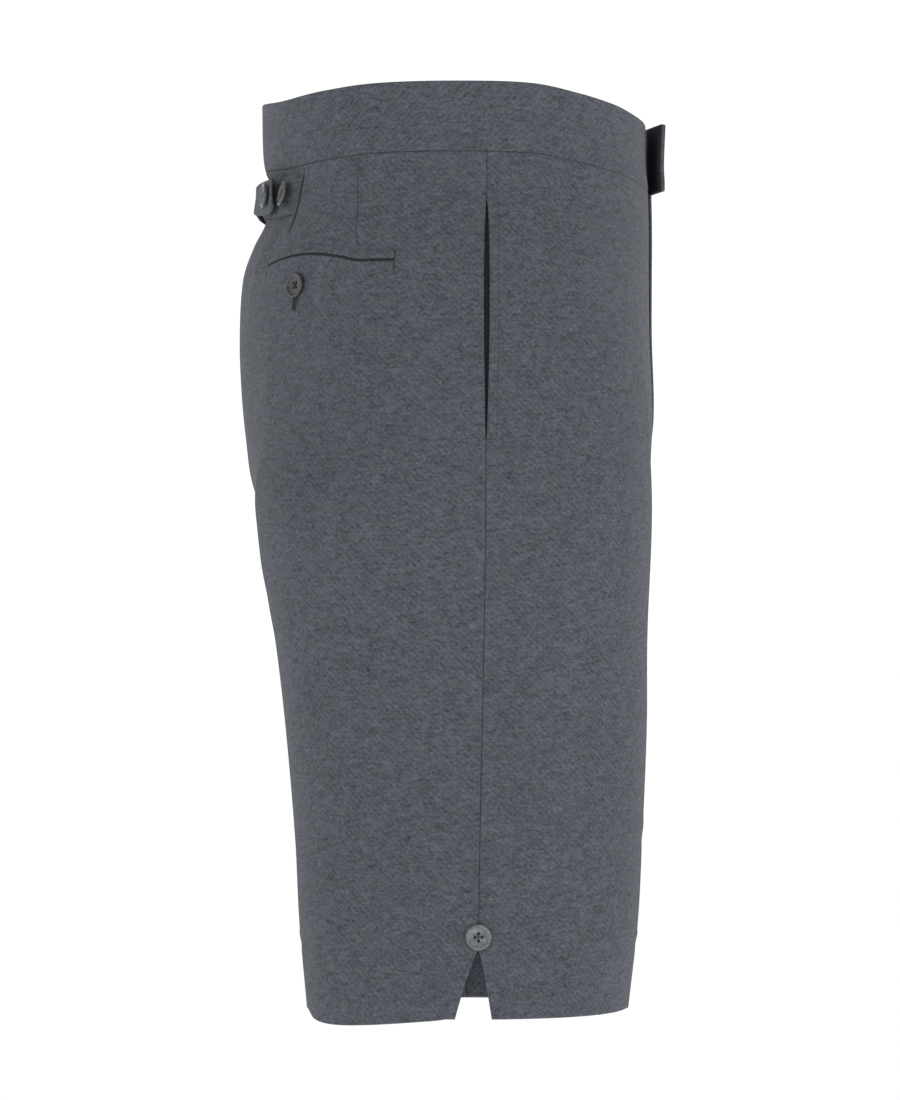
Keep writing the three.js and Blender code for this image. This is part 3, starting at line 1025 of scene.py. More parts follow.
@dataclass(frozen=True)
class PaintedShadeCloth:
    """Near-black cloth that paints the shade in openings, slits, the darts and the gaps under the tab and
    the strap's end; its grain is read from object places.
    """

    name: str = "painted shade cloth"
    colour: Colour = (0.02, 0.022, 0.027)
    darker: float = 0.75
    lighter: float = 1.3
    roughness: float = 0.95
    bump: float = 0.0002
    bump_strength: float = 0.6
    grain: Grain = Grain((900.0, 900.0, 1400.0), rough=0.6)

    def build(self) -> bpy.types.Material:
        """Makes the material.

        Returns:
            The material.
        """
        graph = Graph(self.name)
        where = graph.node("ShaderNodeTexCoord").outputs["Object"]
        grain = graph.noise(where, self.grain)
        stops = ((0.3, tinted(self.colour, self.darker)), (0.7, tinted(self.colour, self.lighter)))
        return graph.finish(
            Base_Color=graph.ramp(grain, stops),
            Roughness=self.roughness,
            Normal=graph.bump(grain, self.bump, self.bump_strength),
        )


@dataclass(frozen=True)
class Marbled:
    """Button stuff with soft veins."""

    name: str
    deep: Colour
    pale: Colour
    roughness: float = 0.32
    roughness_change: float = 0.12
    coat: float = 0.25
    bump: float = 0.0001
    bump_strength: float = 0.4
    swirl: Grain = Grain((240.0, 240.0, 620.0), detail=4.0, rough=0.6, weight=1.7)
    vein: Grain = Grain((900.0, 900.0, 300.0), weight=0.5)

    def build(self) -> bpy.types.Material:
        """Makes the material.

        Returns:
            The material.
        """
        graph = Graph(self.name)
        where = graph.node("ShaderNodeTexCoord").outputs["Object"]
        swirl = graph.noise(where, self.swirl)
        vein = graph.noise(where, self.vein)
        tone = ((swirl - 0.5) * self.swirl.weight + (vein - 0.5) * self.vein.weight + 0.5).clamped()
        return graph.finish(
            Base_Color=graph.ramp(tone, ((0.1, self.deep), (0.9, self.pale))),
            Roughness=self.roughness + (vein - 0.5) * self.roughness_change,
            Coat_Weight=self.coat,
            Normal=graph.bump(swirl, self.bump, self.bump_strength),
        )


@dataclass(frozen=True)
class Thread:
    """Matte sewing thread."""

    name: str
    colour: Colour
    darker: float = 0.7
    roughness: float = 0.7
    bump: float = 0.00008
    bump_strength: float = 0.6
    ply: Grain = Grain((3000.0, 3000.0, 3000.0), detail=1.0)

    def build(self) -> bpy.types.Material:
        """Makes the material.

        Returns:
            The material.
        """
        graph = Graph(self.name)
        where = graph.node("ShaderNodeTexCoord").outputs["Object"]
        ply = graph.noise(where, self.ply)
        stops = ((0.3, tinted(self.colour, self.darker)), (0.7, self.colour))
        return graph.finish(
            Base_Color=graph.ramp(ply, stops),
            Roughness=self.roughness,
            Normal=graph.bump(ply, self.bump, self.bump_strength),
        )


DARK_HORN = Marbled("dark horn", (0.012, 0.012, 0.013), (0.06, 0.06, 0.062))
GREY_SHELL = Marbled("grey shell", (0.064, 0.071, 0.075), (0.25, 0.266, 0.274))
# Darker copy of the grey shell for the strap buttons, which keep its slot: painted shade
SHADED_GREY_SHELL = Marbled("dim shell", (0.045, 0.05, 0.053), (0.14, 0.15, 0.156))
SEWING_THREAD = Thread("sewing thread", (0.10, 0.108, 0.125))
# Dark thread; on the side pocket's edge stitching its darkness also paints the shade of the stitch dimples
DARK_THREAD_AND_DIMPLE_SHADE = Thread("dark thread", (0.045, 0.048, 0.055))


@dataclass
class Finishes:
    """All the materials of the garment."""

    wool: bpy.types.Material = field(default_factory=WoolCloth().build)
    # Near-black cloth: painted shade in openings, slits, the darts and the gaps under the tab and the
    # strap's end
    pocket: bpy.types.Material = field(default_factory=PaintedShadeCloth().build)
    horn: bpy.types.Material = field(default_factory=DARK_HORN.build)
    shell: bpy.types.Material = field(default_factory=GREY_SHELL.build)
    shaded_grey_shell: bpy.types.Material = field(default_factory=SHADED_GREY_SHELL.build)
    thread: bpy.types.Material = field(default_factory=SEWING_THREAD.build)
    dark_thread: bpy.types.Material = field(default_factory=DARK_THREAD_AND_DIMPLE_SHADE.build)


def dress(piece: bpy.types.Object, material: bpy.types.Material, slot: str, *nodes: str) -> bpy.types.Object:
    """Gives a piece its material, its body and the solids that it stands for.

    Args:
        piece: The piece.
        material: Its finish.
        slot: The slot of that finish; not used.
        nodes: Names of the solids that it replaces.

    Returns:
        The piece.
    """
    piece.data.materials.clear()
    piece.data.materials.append(material)
    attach(piece, BODY)
    if nodes:
        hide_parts(*nodes)
    LOG.info("%s: %d faces", piece.name, len(piece.data.polygons))
    return piece


@dataclass(frozen=True)
class Cut:
    """Flat size and area of the cloth of a piece that shows, in metres."""

    flat: tuple[float, float]
    area: float | None = None


# Places of the pieces on the flat cloth, which keep their flecks apart
PANEL_APART = 400.0
BAND_APART = 900.0
BAND_TOP = 300.0
STRAP_START = 2100.0
STRAP_APART = 300.0
JET_START = 3000.0
SLIT_START = 5000.0


@dataclass
class Panel:
    """Front or back of one leg, from the waistband to the hem."""

    side: Side
    half: Half
    wall: float = 2.0
    spacing: float = 2.6
    samples: int = 601
    seam_spread: float = 34.0
    uneven: Unevenness = Unevenness()
    hem_ridge: HemRidge = HemRidge()
    mouth: Mouth = Mouth()
    vent: Vent = Vent()
    droop: Droop = Droop()
    fly: Fly = Fly()

    def levels(self) -> Array:
        """Nominal levels of the rows, from the top."""
        length = FORM.panel_top - FORM.hem
        return FORM.panel_top - spread(length, self.spacing, EDGE_STEPS)

    def lengths(self, levels: Array) -> tuple[Array, Array]:
        """Measures the cloth across each row.

        Args:
            levels: The rows' levels.

        Returns:
            Even shares across, and each row's distances from the centre seam at them.
        """
        fine = np.linspace(0.0, 1.0, self.samples)
        z = FORM.panel_level(self.half, fine[None, :], levels[:, None])
        places = FORM.surface(self.half, fine[None, :], z)
        steps = np.linalg.norm(np.diff(places, axis=1), axis=-1)
        return fine, np.concatenate([np.zeros((len(levels), 1)), np.cumsum(steps, 1)], 1)

    def columns(self, levels: Array) -> tuple[Array, Array]:
        """Shares across for each row, an even distance apart on the cloth.

        Args:
            levels: The rows' levels.

        Returns:
            The shares, and each point's distance from the centre seam.
        """
        fine, length = self.lengths(levels)
        widest = length[:, -1].max()
        pattern = spread(widest, self.spacing, EDGE_STEPS)
        middle = len(pattern) // 2
        shares = np.empty((len(levels), len(pattern)))
        arcs = np.empty_like(shares)
        for row, lengths in enumerate(length):
            whole, to_crease = lengths[-1], np.interp(FORM.crease_across, fine, lengths)
            arcs[row] = np.interp(
                pattern,
                [0.0, EDGE_STEPS[-1], pattern[middle], widest - EDGE_STEPS[-1], widest],
                [0.0, EDGE_STEPS[-1], to_crease, whole - EDGE_STEPS[-1], whole],
            )
            shares[row] = np.interp(arcs[row], lengths, fine)
        return shares, arcs

    def by_seam(self, from_seam: Array, levels: Array, out: float) -> Array:
        """Points on the finished cloth by their distance from the side seam.

        Args:
            from_seam: Distances along the cloth.
            levels: One level for each.
            out: How far out from the cloth.

        Returns:
            The points.
        """
        fine, length = self.lengths(levels)
        across = np.array([np.interp(row[-1] - far, row, fine) for row, far in zip(length, from_seam)])
        return self.points(across, from_seam, levels, np.asarray(-out))

    def relief(self, across: Array, z: Array) -> Array:
        """How far folds and pressing move the cloth out.

        Args:
            across: Shares across.
            z: Levels.

        Returns:
            The distances.
        """
        total = self.uneven.relief(self.side, self.half, across, z)
        for fold in FOLDS:
            total = total + fold.relief(self.side, self.half, across, z)
        return total + self.hem_ridge.relief(z)

    def points(self, across: Array, from_seam: Array, levels: Array, depth: Array) -> Array:
        """Points of the finished cloth, with its openings, sag and lap.

        Args:
            across: Shares across.
            from_seam: Distances from the side seam.
            levels: Nominal levels.
            depth: Depths below the outer face.

        Returns:
            The points.
        """
        z = FORM.panel_level(self.half, across, levels)
        near = (1.0 - ease(from_seam, 0.0, self.seam_spread)) ** 2
        opened = self.mouth.open(z)
        in_front = self.half is Half.FRONT
        lift = near * opened * (self.mouth.lift if in_front else 0.0)
        points = FORM.skin(self.side, self.half, across, z, self.relief(across, z) + lift - depth)
        mouth = self.mouth.front if in_front else self.mouth.back
        vent = self.vent.front if in_front else self.vent.back
        points[..., 1] += self.half.value * near * (opened * mouth + self.vent.open(z) * vent)
        points[..., 2] -= self.droop.drop(self.half, across, z)
        if in_front and self.side is Side.LEFT:
            points[..., 1] -= self.fly.lift(across, z, self.wall)
            points[..., 0] -= self.fly.reach(across, z) * (z > FORM.rise_turn)
        return points

    def build(self, finishes: Finishes, sewn_on: Sequence[bpy.types.Object] = ()) -> bpy.types.Object:
        """Makes the panel.

        Args:
            finishes: The garment's materials.
            sewn_on: Small pieces of cloth that go with it; not used.

        Returns:
            The piece.
        """
        levels = self.levels()
        across, arcs = self.columns(levels)
        rows = levels[:, None]
        from_seam = arcs[:, -1:] - arcs
        from_ends = np.minimum(FORM.panel_top - rows, rows - FORM.hem)
        turned = rounded(np.minimum(np.minimum(arcs, from_seam), from_ends), self.wall)
        outer = self.points(across, from_seam, rows, turned)
        inner = self.points(across, from_seam, rows, self.wall - turned)
        name = f"{self.half.word}_{self.side.word}"
        flat_place = PANEL_APART * (self.half.value + 2.0 * self.side.value)
        mirror = self.half.value * self.side.value
        uv = np.stack([flat_place + mirror * from_seam, rows + np.zeros_like(arcs)], -1)
        piece = shell(f"{name}_cloth", outer, inner, uv)
        dress(piece, finishes.wool, "wool_cloth", name)
        return piece


@dataclass
class PocketFacing:
    """Cloth behind a side pocket mouth, which keeps the mesh of its solid; it is given the near-black cloth
    as painted shade for the mouth.
    """

    side: Side

    def build(self, finishes: Finishes) -> bpy.types.Object:
        """Gives the solid the near-black cloth, which paints the shade seen in the mouth.

        Args:
            finishes: The garment's materials.

        Returns:
            The piece.
        """
        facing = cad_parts[f"pocket_facing_{self.side.word}"]
        facing.data.materials.clear()
        # Painted shade for the mouth: the near-black cloth, not the wool
        facing.data.materials.append(finishes.pocket)
        return facing


@dataclass(frozen=True)
class Stations:
    """Places round the waist, one for each column of the waistband.

    A place off the tab has nan for its x on the tab.
    """

    in_front: Array
    share: Array
    tab_x: Array
    along: Array


@dataclass
class Waistband:
    """Half of the waistband; the left half has the loose tab."""

    side: Side
    wall: float = 2.8
    spacing: float = 2.4
    samples: int = 501
    tab_samples: int = 60
    tab_reach: float = 26.0
    tab_start: float = 25.0
    tab_top: float = 12.0
    tab_bottom: float = 9.9
    tab_curve: float = 1.3
    tab_wall: float = 2.0

    def stations(self) -> Stations:
        """Measures the band from its front end, or the tab's tip, to centre back.

        Returns:
            The places of its columns.
        """
        fine = np.linspace(0.0, 1.0, self.samples)
        front = FORM.surface(Half.FRONT, fine, FORM.rim(Half.FRONT, fine))
        back = FORM.surface(Half.BACK, fine[::-1], FORM.rim(Half.BACK, fine[::-1]))
        path = np.concatenate([front, back[1:]])
        share = np.concatenate([fine, fine[::-1][1:]])
        in_front = np.arange(len(path)) < len(front)
        tab_x = np.full(len(path), np.nan)
        if self.side is Side.LEFT:
            extra = np.linspace(-self.tab_reach, 0.0, self.tab_samples)[:-1]
            count = len(extra)
            tab = np.stack([extra, np.full(count, path[0, 1]), np.full(count, path[0, 2])], -1)
            path = np.concatenate([tab, path])
            share = np.concatenate([np.zeros(count), share])
            in_front = np.concatenate([np.ones(count, bool), in_front])
            tab_x = np.concatenate([extra, tab_x])
        length = np.concatenate([[0.0], np.cumsum(np.linalg.norm(np.diff(path, axis=0), axis=1))])
        wanted = spread(length[-1], self.spacing, EDGE_STEPS)
        index = np.interp(wanted, length, np.arange(len(length)))
        nearest = np.clip(np.round(index).astype(int), 0, len(length) - 1)
        shares = np.interp(wanted, length, share)
        x = np.where(np.isnan(tab_x[nearest]), np.nan, np.interp(wanted, length, path[:, 0]))
        return Stations(in_front[nearest], shares, x, wanted)

    def points(self, stations: Stations, drops: Array, depth: Array) -> Array:
        """Points of the band.

        Args:
            stations: The places of its columns.
            drops: The rows' distances below the rim.
            depth: Depths below the outer face.

        Returns:
            Rows and columns of points.
        """
        out = np.empty((*depth.shape, 3))
        for half, chosen in ((Half.FRONT, stations.in_front), (Half.BACK, ~stations.in_front)):
            share, tab_x = stations.share[chosen], stations.tab_x[chosen]
            z = FORM.rim(half, share)[None, :] - drops[:, None]
            across = np.broadcast_to(share[None, :], z.shape)
            base = FORM.skin(self.side, half, across, z, 0.0)
            normal = FORM.direction(self.side, half, across, z)
            below = depth[:, chosen]
            if self.side is Side.LEFT and half is Half.FRONT:
                x = np.where(np.isnan(tab_x)[None, :], base[..., 0], tab_x[None, :])
                part = np.clip((self.tab_start - x) / (self.tab_start + self.tab_reach), 0.0, 1.0)
                reach = blend(self.tab_top, self.tab_bottom, drops[:, None] / FORM.band_height)
                base[..., 0] = x
                base[..., 1] -= reach * part**self.tab_curve
                below = below * (1.0 + self.tab_wall / self.wall * part * part)
            out[:, chosen] = base - normal * below[..., None]
        return out

    def build(self, finishes: Finishes) -> bpy.types.Object:
        """Makes the band, and gives the tab's inner face the near-black cloth as painted shade for the gap
        behind it.

        Args:
            finishes: The garment's materials.

        Returns:
            The piece.
        """
        stations = self.stations()
        along = stations.along
        drops = spread(FORM.band_height, self.spacing, EDGE_STEPS)
        from_ends = np.minimum(along, along[-1] - along)[None, :]
        from_edges = np.minimum(drops, FORM.band_height - drops)[:, None]
        turned = rounded(np.minimum(from_ends, from_edges), self.wall)
        outer = self.points(stations, drops, turned)
        inner = self.points(stations, drops, self.wall - turned)
        flat_along = along[None, :] + BAND_APART * self.side.value
        uv = np.stack(np.broadcast_arrays(flat_along, BAND_TOP - drops[:, None]), -1)
        piece = shell(f"waistband_{self.side.word}_cloth", outer, inner, uv)
        dress(piece, finishes.wool, "wool_cloth", f"waistband_{self.side.word}")
        # Painted shade: the tab's inner face gets the near-black cloth
        on_tab = np.nan_to_num(stations.tab_x[:-1], nan=self.tab_reach) < 0.0
        paint_shade_inside(piece, turned.shape, on_tab, finishes.pocket)
        return piece


@dataclass
class Strap:
    """Half of the cinch strap at the back; the left half laps over the right one."""

    side: Side
    top: float = -24.0
    bottom: float = -48.2
    slit: float = 96.5
    lap: float = 80.0
    under: float = 18.0
    ramp: float = 20.0
    corner: float = 5.0
    gap: float = 0.9
    loose: float = 0.8
    slack: float = 2.6
    slack_x: float = -14.0
    slack_width: float = 32.0
    spring: float = 3.6
    spring_from: float = 44.0
    spring_more: float = 0.4
    sink: float = 5.0
    proud: float = 0.2
    dome: float = 1.1
    dome_power: int = 3
    dome_fade: float = 16.0
    wall: float = 2.2
    spacing: float = 1.5

    @property
    def free_end(self) -> float:
        """Place in x of the end that isn't sewn in."""
        return -self.lap if self.side is Side.LEFT else self.under

    def level(self, x: Array) -> Array:
        """Middle level of the strap at places in x."""
        across = FORM.across_at_x(Half.BACK, np.abs(x), self.top)
        return (self.top + self.bottom) / 2 + FORM.rim(Half.BACK, across) - FORM.rim(Half.BACK, 0.0)

    def half_height(self, x: Array) -> Array:
        """Half the strap's height, less at the round corners of its free end.

        Args:
            x: Places in x.

        Returns:
            The half heights.
        """
        full = (self.top - self.bottom) / 2
        short = np.clip(self.corner - np.abs(x - self.free_end), 0.0, self.corner)
        return full - self.corner + np.sqrt(self.corner**2 - short**2)

    def stand_off(self, x: Array, row: Array) -> Array:
        """Distance of the inner face from the cloth of the back.

        Args:
            x: Places in x.
            row: Rows from 1 at the top edge to -1 at the bottom edge.

        Returns:
            The distances, below 0 where the strap goes into its slit.
        """
        from_middle = np.abs(x)
        sunk = ease(from_middle, self.slit - self.sink, self.slit) * (self.wall + self.gap - self.proud)
        domed = 1.0 - ease(from_middle, self.slit - self.dome_fade, self.slit)
        base = self.gap + self.dome * (1.0 - np.abs(row) ** self.dome_power) * domed - sunk
        if self.side is Side.RIGHT:
            return base
        ramp = 1.0 - ease(x, self.under, self.under + self.ramp)
        towards_end = np.clip((-x - self.spring_from) / (self.lap - self.spring_from), 0.0, 1.0)
        spring = self.spring * (1.0 + self.spring_more * row) * towards_end**2
        slack = self.slack * np.exp(-(((x - self.slack_x) / self.slack_width) ** 2))
        return base + (self.wall + FORM.gap + self.loose + slack) * ramp + spring

    def point(self, x: Array, row: Array, distance: Array | float) -> Array:
        """Points of the strap.

        Args:
            x: Places in x.
            row: Rows from 1 at the top edge to -1 at the bottom edge.
            distance: Distances out from the inner face.

        Returns:
            The points.
        """
        x, row = np.broadcast_arrays(np.asarray(x, float), np.asarray(row, float))
        z = self.level(x) + row * self.half_height(x)
        across = FORM.across_at_x(Half.BACK, np.abs(x), z)
        spots = FORM.skin(Side.LEFT, Half.BACK, across, z, self.stand_off(x, row) + distance)
        spots[..., 0] *= np.where(x < 0.0, -1.0, 1.0)
        return spots

    def facing(self, x: float) -> Array:
        """Direction in which the outer face looks, at the middle of the width.

        Args:
            x: Place in x.

        Returns:
            A direction of length 1.
        """
        along = self.point(x + 1.0, 0.0, 0.0) - self.point(x - 1.0, 0.0, 0.0)
        up = self.point(x, 0.5, 0.0) - self.point(x, -0.5, 0.0)
        normal = np.cross(up, along)
        return normal / np.linalg.norm(normal)

    def build(self, finishes: Finishes) -> bpy.types.Object:
        """Makes the strap, and gives the inner face of the left half's sprung free end the near-black cloth
        as painted shade.

        Args:
            finishes: The garment's materials.

        Returns:
            The piece.
        """
        is_left = self.side is Side.LEFT
        start, end = (self.free_end, self.slit) if is_left else (-self.slit, self.free_end)
        along = spread(end - start, self.spacing, EDGE_STEPS)
        x = (start + along)[None, :]
        full = (self.top - self.bottom) / 2
        row = (1.0 - spread(2.0 * full, self.spacing, EDGE_STEPS) / full)[:, None]
        from_ends = np.minimum(along, along[-1] - along)[None, :]
        turned = rounded(np.minimum(from_ends, full * (1.0 - np.abs(row))), self.wall)
        flat_along = along[None, :] + STRAP_START + STRAP_APART * self.side.value
        uv = np.stack(np.broadcast_arrays(flat_along, full * row), -1)
        outer, inner = self.point(x, row, self.wall - turned), self.point(x, row, turned)
        piece = shell(f"strap_{self.side.word}_cloth", outer, inner, uv)
        dress(piece, finishes.wool, "wool_cloth", f"strap_{self.side.word}")
        # Painted shade: the inner face of the sprung end gets the near-black cloth
        sprung = is_left & (x[0, :-1] < -self.spring_from)
        paint_shade_inside(piece, turned.shape, sprung, finishes.pocket)
        return piece


@dataclass
class Jets:
    """The two piped lips of one hip pocket, and a near-black strip between them that paints the shade in the
    mouth.
    """

    side: Side
    width: float = 5.4
    slit: float = 1.6
    inner: float = 86.0
    outer: float = 156.5
    inner_z: float = -82.6
    outer_z: float = -84.0
    arch: float = 5.0
    peak: float = 1.3
    bunch: float = 0.55
    height: float = 0.85
    crest: float = 0.36
    crest_reach: float = 0.645
    edge_sink: float = 0.12
    rows: int = 17
    mouth_half: float = 0.85
    mouth_rise: float = 0.28
    sunk: float = 0.9
    length: float = 115.0
    step: float = 0.02
    end_steps: tuple[float, ...] = (0.0, 0.002, 0.006, 0.012, 0.02)
    end_round: float = 0.012

    def line(self, share: Array) -> tuple[Array, Array]:
        """The mouth's line.

        Args:
            share: Shares of its length.

        Returns:
            Distances from the middle plane, and levels.
        """
        x = blend(self.inner, self.outer, blend(share, np.sin(share * math.pi / 2), self.bunch))
        arch = self.arch * np.sin(math.pi * np.minimum(share * self.peak, 1.0))
        return x, blend(self.inner_z, self.outer_z, share) + arch

    def strip(self, name: str, offset: Array, rise: Array) -> bpy.types.Object:
        """Makes a strip along the mouth.

        Args:
            name: The piece's name.
            offset: Distances up from the mouth's line, one for each row.
            rise: Each row's height above the cloth.

        Returns:
            The piece.
        """
        share = spread(1.0, self.step, self.end_steps)
        x, z = self.line(share)
        level = z[None, :] + offset[:, None]
        across = np.broadcast_to(FORM.across_at_x(Half.BACK, x, z)[None, :], level.shape)
        ends = np.sqrt(np.clip(np.minimum(share, 1.0 - share) / self.end_round, 0.0, 1.0))
        outer = FORM.skin(self.side, Half.BACK, across, level, rise[:, None] * ends[None, :])
        inner = FORM.skin(self.side, Half.BACK, across, level, -self.sunk)
        flat_along = share[None, :] * self.length + JET_START
        uv = np.stack(np.broadcast_arrays(flat_along, offset[:, None]), -1)
        return shell(name, outer, inner, uv)

    def build(self, finishes: Finishes) -> list[bpy.types.Object]:
        """Makes both jets and the near-black strip that paints the shade in the mouth.

        Args:
            finishes: The garment's materials.

        Returns:
            The three pieces.
        """
        # Painted shade: a near-black strip laid in the mouth between the jets
        mouth = np.array([-self.mouth_half, 0.0, self.mouth_half])
        dark = self.strip(f"hip_mouth_{self.side.word}", mouth, np.full(3, self.mouth_rise))
        pieces = [dress(dark, finishes.pocket, "pocket_cloth")]
        part = np.linspace(0.0, 1.0, self.rows)
        off_crest = (part - self.crest) / self.crest_reach
        plump = self.height * np.sqrt(np.clip(1.0 - off_crest**2, 0.0, 1.0)) - self.edge_sink
        for word, sign in (("upper", 1.0), ("lower", -1.0)):
            offset = sign * (self.slit / 2 + part * self.width)
            name = f"hip_jet_{word}_{self.side.word}"
            jet = self.strip(f"{name}_cloth", offset, plump)
            pieces.append(dress(jet, finishes.wool, "wool_cloth", name))
        return pieces


def as_object(name: str, form: bmesh.types.BMesh) -> bpy.types.Object:
    """Turns a bmesh into an object.

    Args:
        name: The object's name.
        form: The bmesh, which is freed.

    Returns:
        The object.
    """
    mesh = bpy.data.meshes.new(name)
    form.to_mesh(mesh)
    form.free()
    return linked(name, mesh)


def applied(source: bpy.types.Object, name: str) -> bpy.types.Mesh:
    """Plain mesh of an object with its modifiers.

    Args:
        source: The object, which is removed.
        name: The mesh's name.

    Returns:
        The mesh.
    """
    bpy.context.view_layer.update()
    graph = bpy.context.evaluated_depsgraph_get()
    mesh = bpy.data.meshes.new_from_object(source.evaluated_get(graph))
    mesh.name = name
    bpy.data.objects.remove(source)
    return mesh


UP = Vector((0.0, 0.0, 1.0))
STEEP = 0.99


def tubes(
    name: str, paths: Sequence[Sequence[Vector]], radius: float, matrix: Matrix, sides: int = 6
) -> bpy.types.Object:
    """One mesh of thread-like tubes with closed ends.

    Args:
        name: The object's name.
        paths: Points of each tube, in millimetres.
        radius: The tubes' radius.
        matrix: Turns and places the paths.
        sides: How many sides each tube has.

    Returns:
        The object.
    """
    points: list[Vector] = []
    faces: list[tuple[int, ...]] = []
    for path in paths:
        start = len(points)
        for i, spot in enumerate(path):
            ahead = path[min(i + 1, len(path) - 1)] - path[max(i - 1, 0)]
            steep = abs(ahead.z) > ahead.length * STEEP
            side = (ahead.orthogonal() if steep else ahead.cross(UP)).normalized()
            up = side.cross(ahead).normalized()
            for j in range(sides):
                angle = 2.0 * math.pi * j / sides
                points.append(spot + (side * math.cos(angle) + up * math.sin(angle)) * radius)
        for i in range(len(path) - 1):
            for j in range(sides):
                a, b = start + i * sides + j, start + i * sides + (j + 1) % sides
                faces.append((a, b, b + sides, a + sides))
        faces.append(tuple(start + j for j in range(sides))[::-1])
        faces.append(tuple(start + (len(path) - 1) * sides + j for j in range(sides)))
    mesh = bpy.data.meshes.new(name)
    mesh.from_pydata([matrix @ point * MM for point in points], [], faces)
    shade_smooth(mesh)
    form = bmesh.new()
    form.from_mesh(mesh)
    bmesh.ops.recalc_face_normals(form, faces=form.faces)
    form.to_mesh(mesh)
    form.free()
    return linked(name, mesh)


# A button's turned outline from the middle of its back to the inside of its rim, as
# shares of its radius and of its height
BUTTON_RIM = (
    (0.0, 0.0),
    (0.72, 0.0),
    (0.93, 0.2),
    (0.995, 0.45),
    (1.0, 0.6),
    (0.985, 0.8),
    (0.94, 0.94),
    (0.88, 1.0),
    (0.82, 0.97),
    (0.76, 0.84),
    (0.7, 0.7),
)


@dataclass
class Button:
    """Round button with a raised rim, four holes and its thread."""

    node: str
    slot: str
    centre: Array
    direction: Array
    radius: float = 7.5
    height: float = 2.6
    well: float = 0.58
    well_reach: float = 0.5
    well_foot: float = 0.62
    well_rise: float = 0.06
    hole: float = 1.0
    spread: float = 1.95
    segments: int = 64
    hole_segments: int = 16
    sharp: float = 40.0
    thread_radius: float = 0.24
    thread_apart: float = 0.22
    thread_rise: float = 0.32
    cross_rise: float = 0.18
    thread_depth: float = 0.9
    thread_edge: float = 0.1
    outer_bend: float = 0.9
    inner_bend: float = 0.45

    @property
    def name(self) -> str:
        """The piece's name."""
        return f"{self.node}_turned"

    @property
    def well_floor(self) -> float:
        """Height of the flat inside the rim."""
        return self.well * self.height

    def outline(self) -> list[tuple[float, float]]:
        """Turned outline, from the middle of the back to the middle of the front.

        Returns:
            The radius and the height of each of its points.
        """
        rim = [(out * self.radius, up * self.height) for out, up in BUTTON_RIM]
        foot = (self.well_foot * self.radius, self.well_floor + self.well_rise)
        return [*rim, foot, (self.well_reach * self.radius, self.well_floor), (0.0, self.well_floor)]

    def turned(self) -> bmesh.types.BMesh:
        """Turns the button, without its holes.

        Returns:
            The closed form, with its back on its own plane z = 0.
        """
        form = bmesh.new()
        angles = [2.0 * math.pi * i / self.segments for i in range(self.segments)]
        rings = []
        for radius, height in self.outline():
            spots = [(radius * math.cos(a), radius * math.sin(a), height) for a in angles]
            rings.append([form.verts.new(spot) for spot in (spots if radius else [(0.0, 0.0, height)])])
        for lower, upper in zip(rings, rings[1:]):
            for i in range(self.segments):
                j = (i + 1) % self.segments
                if len(lower) == 1:
                    form.faces.new((lower[0], upper[j], upper[i]))
                elif len(upper) == 1:
                    form.faces.new((lower[i], lower[j], upper[0]))
                else:
                    form.faces.new((lower[i], lower[j], upper[j], upper[i]))
        bmesh.ops.recalc_face_normals(form, faces=form.faces)
        return form

    def matrix(self) -> Matrix:
        """Place of the button, with its own z along its direction."""
        turn = UP.rotation_difference(Vector(self.direction))
        return Matrix.Translation(Vector(self.centre)) @ turn.to_matrix().to_4x4()

    def holes(self) -> list[Vector]:
        """Middles of the holes in the button's own plane."""
        angles = [math.pi / 2 * i for i in range(4)]
        return [Vector((self.spread * math.cos(a), self.spread * math.sin(a), 0.0)) for a in angles]

    def build(self, material: bpy.types.Material, thread: bpy.types.Material) -> list[bpy.types.Object]:
        """Makes the button and its thread.

        Args:
            material: The button's finish.
            thread: The thread's finish.

        Returns:
            The two pieces.
        """
        disc = as_object(f"{self.name}_disc", self.turned())
        drills = bmesh.new()
        for spot in self.holes():
            bmesh.ops.create_cone(
                drills,
                cap_ends=True,
                segments=self.hole_segments,
                radius1=self.hole,
                radius2=self.hole,
                depth=self.height * 4,
                matrix=Matrix.Translation(spot),
            )
        drill = as_object(f"{self.name}_drill", drills)
        cut = disc.modifiers.new("holes", "BOOLEAN")
        cut.operation = "DIFFERENCE"
        cut.object = drill
        cut.solver = "EXACT"
        mesh = applied(disc, self.name)
        bpy.data.objects.remove(drill)
        mesh.transform(Matrix.Scale(MM, 4) @ self.matrix())
        shade_smooth(mesh)
        mesh.set_sharp_from_angle(angle=math.radians(self.sharp))
        piece = dress(linked(self.name, mesh), material, self.slot, self.node)
        return [piece, self.sewn(thread)]

    def sewn(self, thread: bpy.types.Material) -> bpy.types.Object:
        """Makes the crossed thread over the holes, and where it goes down them.

        Args:
            thread: The thread's finish.

        Returns:
            The piece.
        """
        spots = self.holes()
        well = self.well_floor
        down, edge = well - self.thread_depth, well + self.thread_edge
        bends = (1.0, self.outer_bend, self.inner_bend)
        threads = []
        for first, second in ((0, 2), (1, 3)):
            rise = well + self.thread_rise + (self.cross_rise if first else 0.0)
            heights = [down, edge, rise, rise, edge, down]
            a, b = spots[first], spots[second]
            for shift in (-self.thread_apart, self.thread_apart):
                off = Vector((-(b - a).y, (b - a).x, 0.0)).normalized() * shift
                path = [a * bend + off for bend in bends] + [b * bend + off for bend in bends[::-1]]
                threads.append([Vector((spot.x, spot.y, height)) for spot, height in zip(path, heights)])
        piece = tubes(f"{self.name}_thread", threads, self.thread_radius, self.matrix())
        return dress(piece, thread, "sewing_thread")


@dataclass(frozen=True)
class StrapButton:
    """Place of a button on the strap, and how far it hangs turned and leaning."""

    word: str
    side: Side
    x: float
    raised: float
    turn: float = 0.0
    lean: float = 0.0


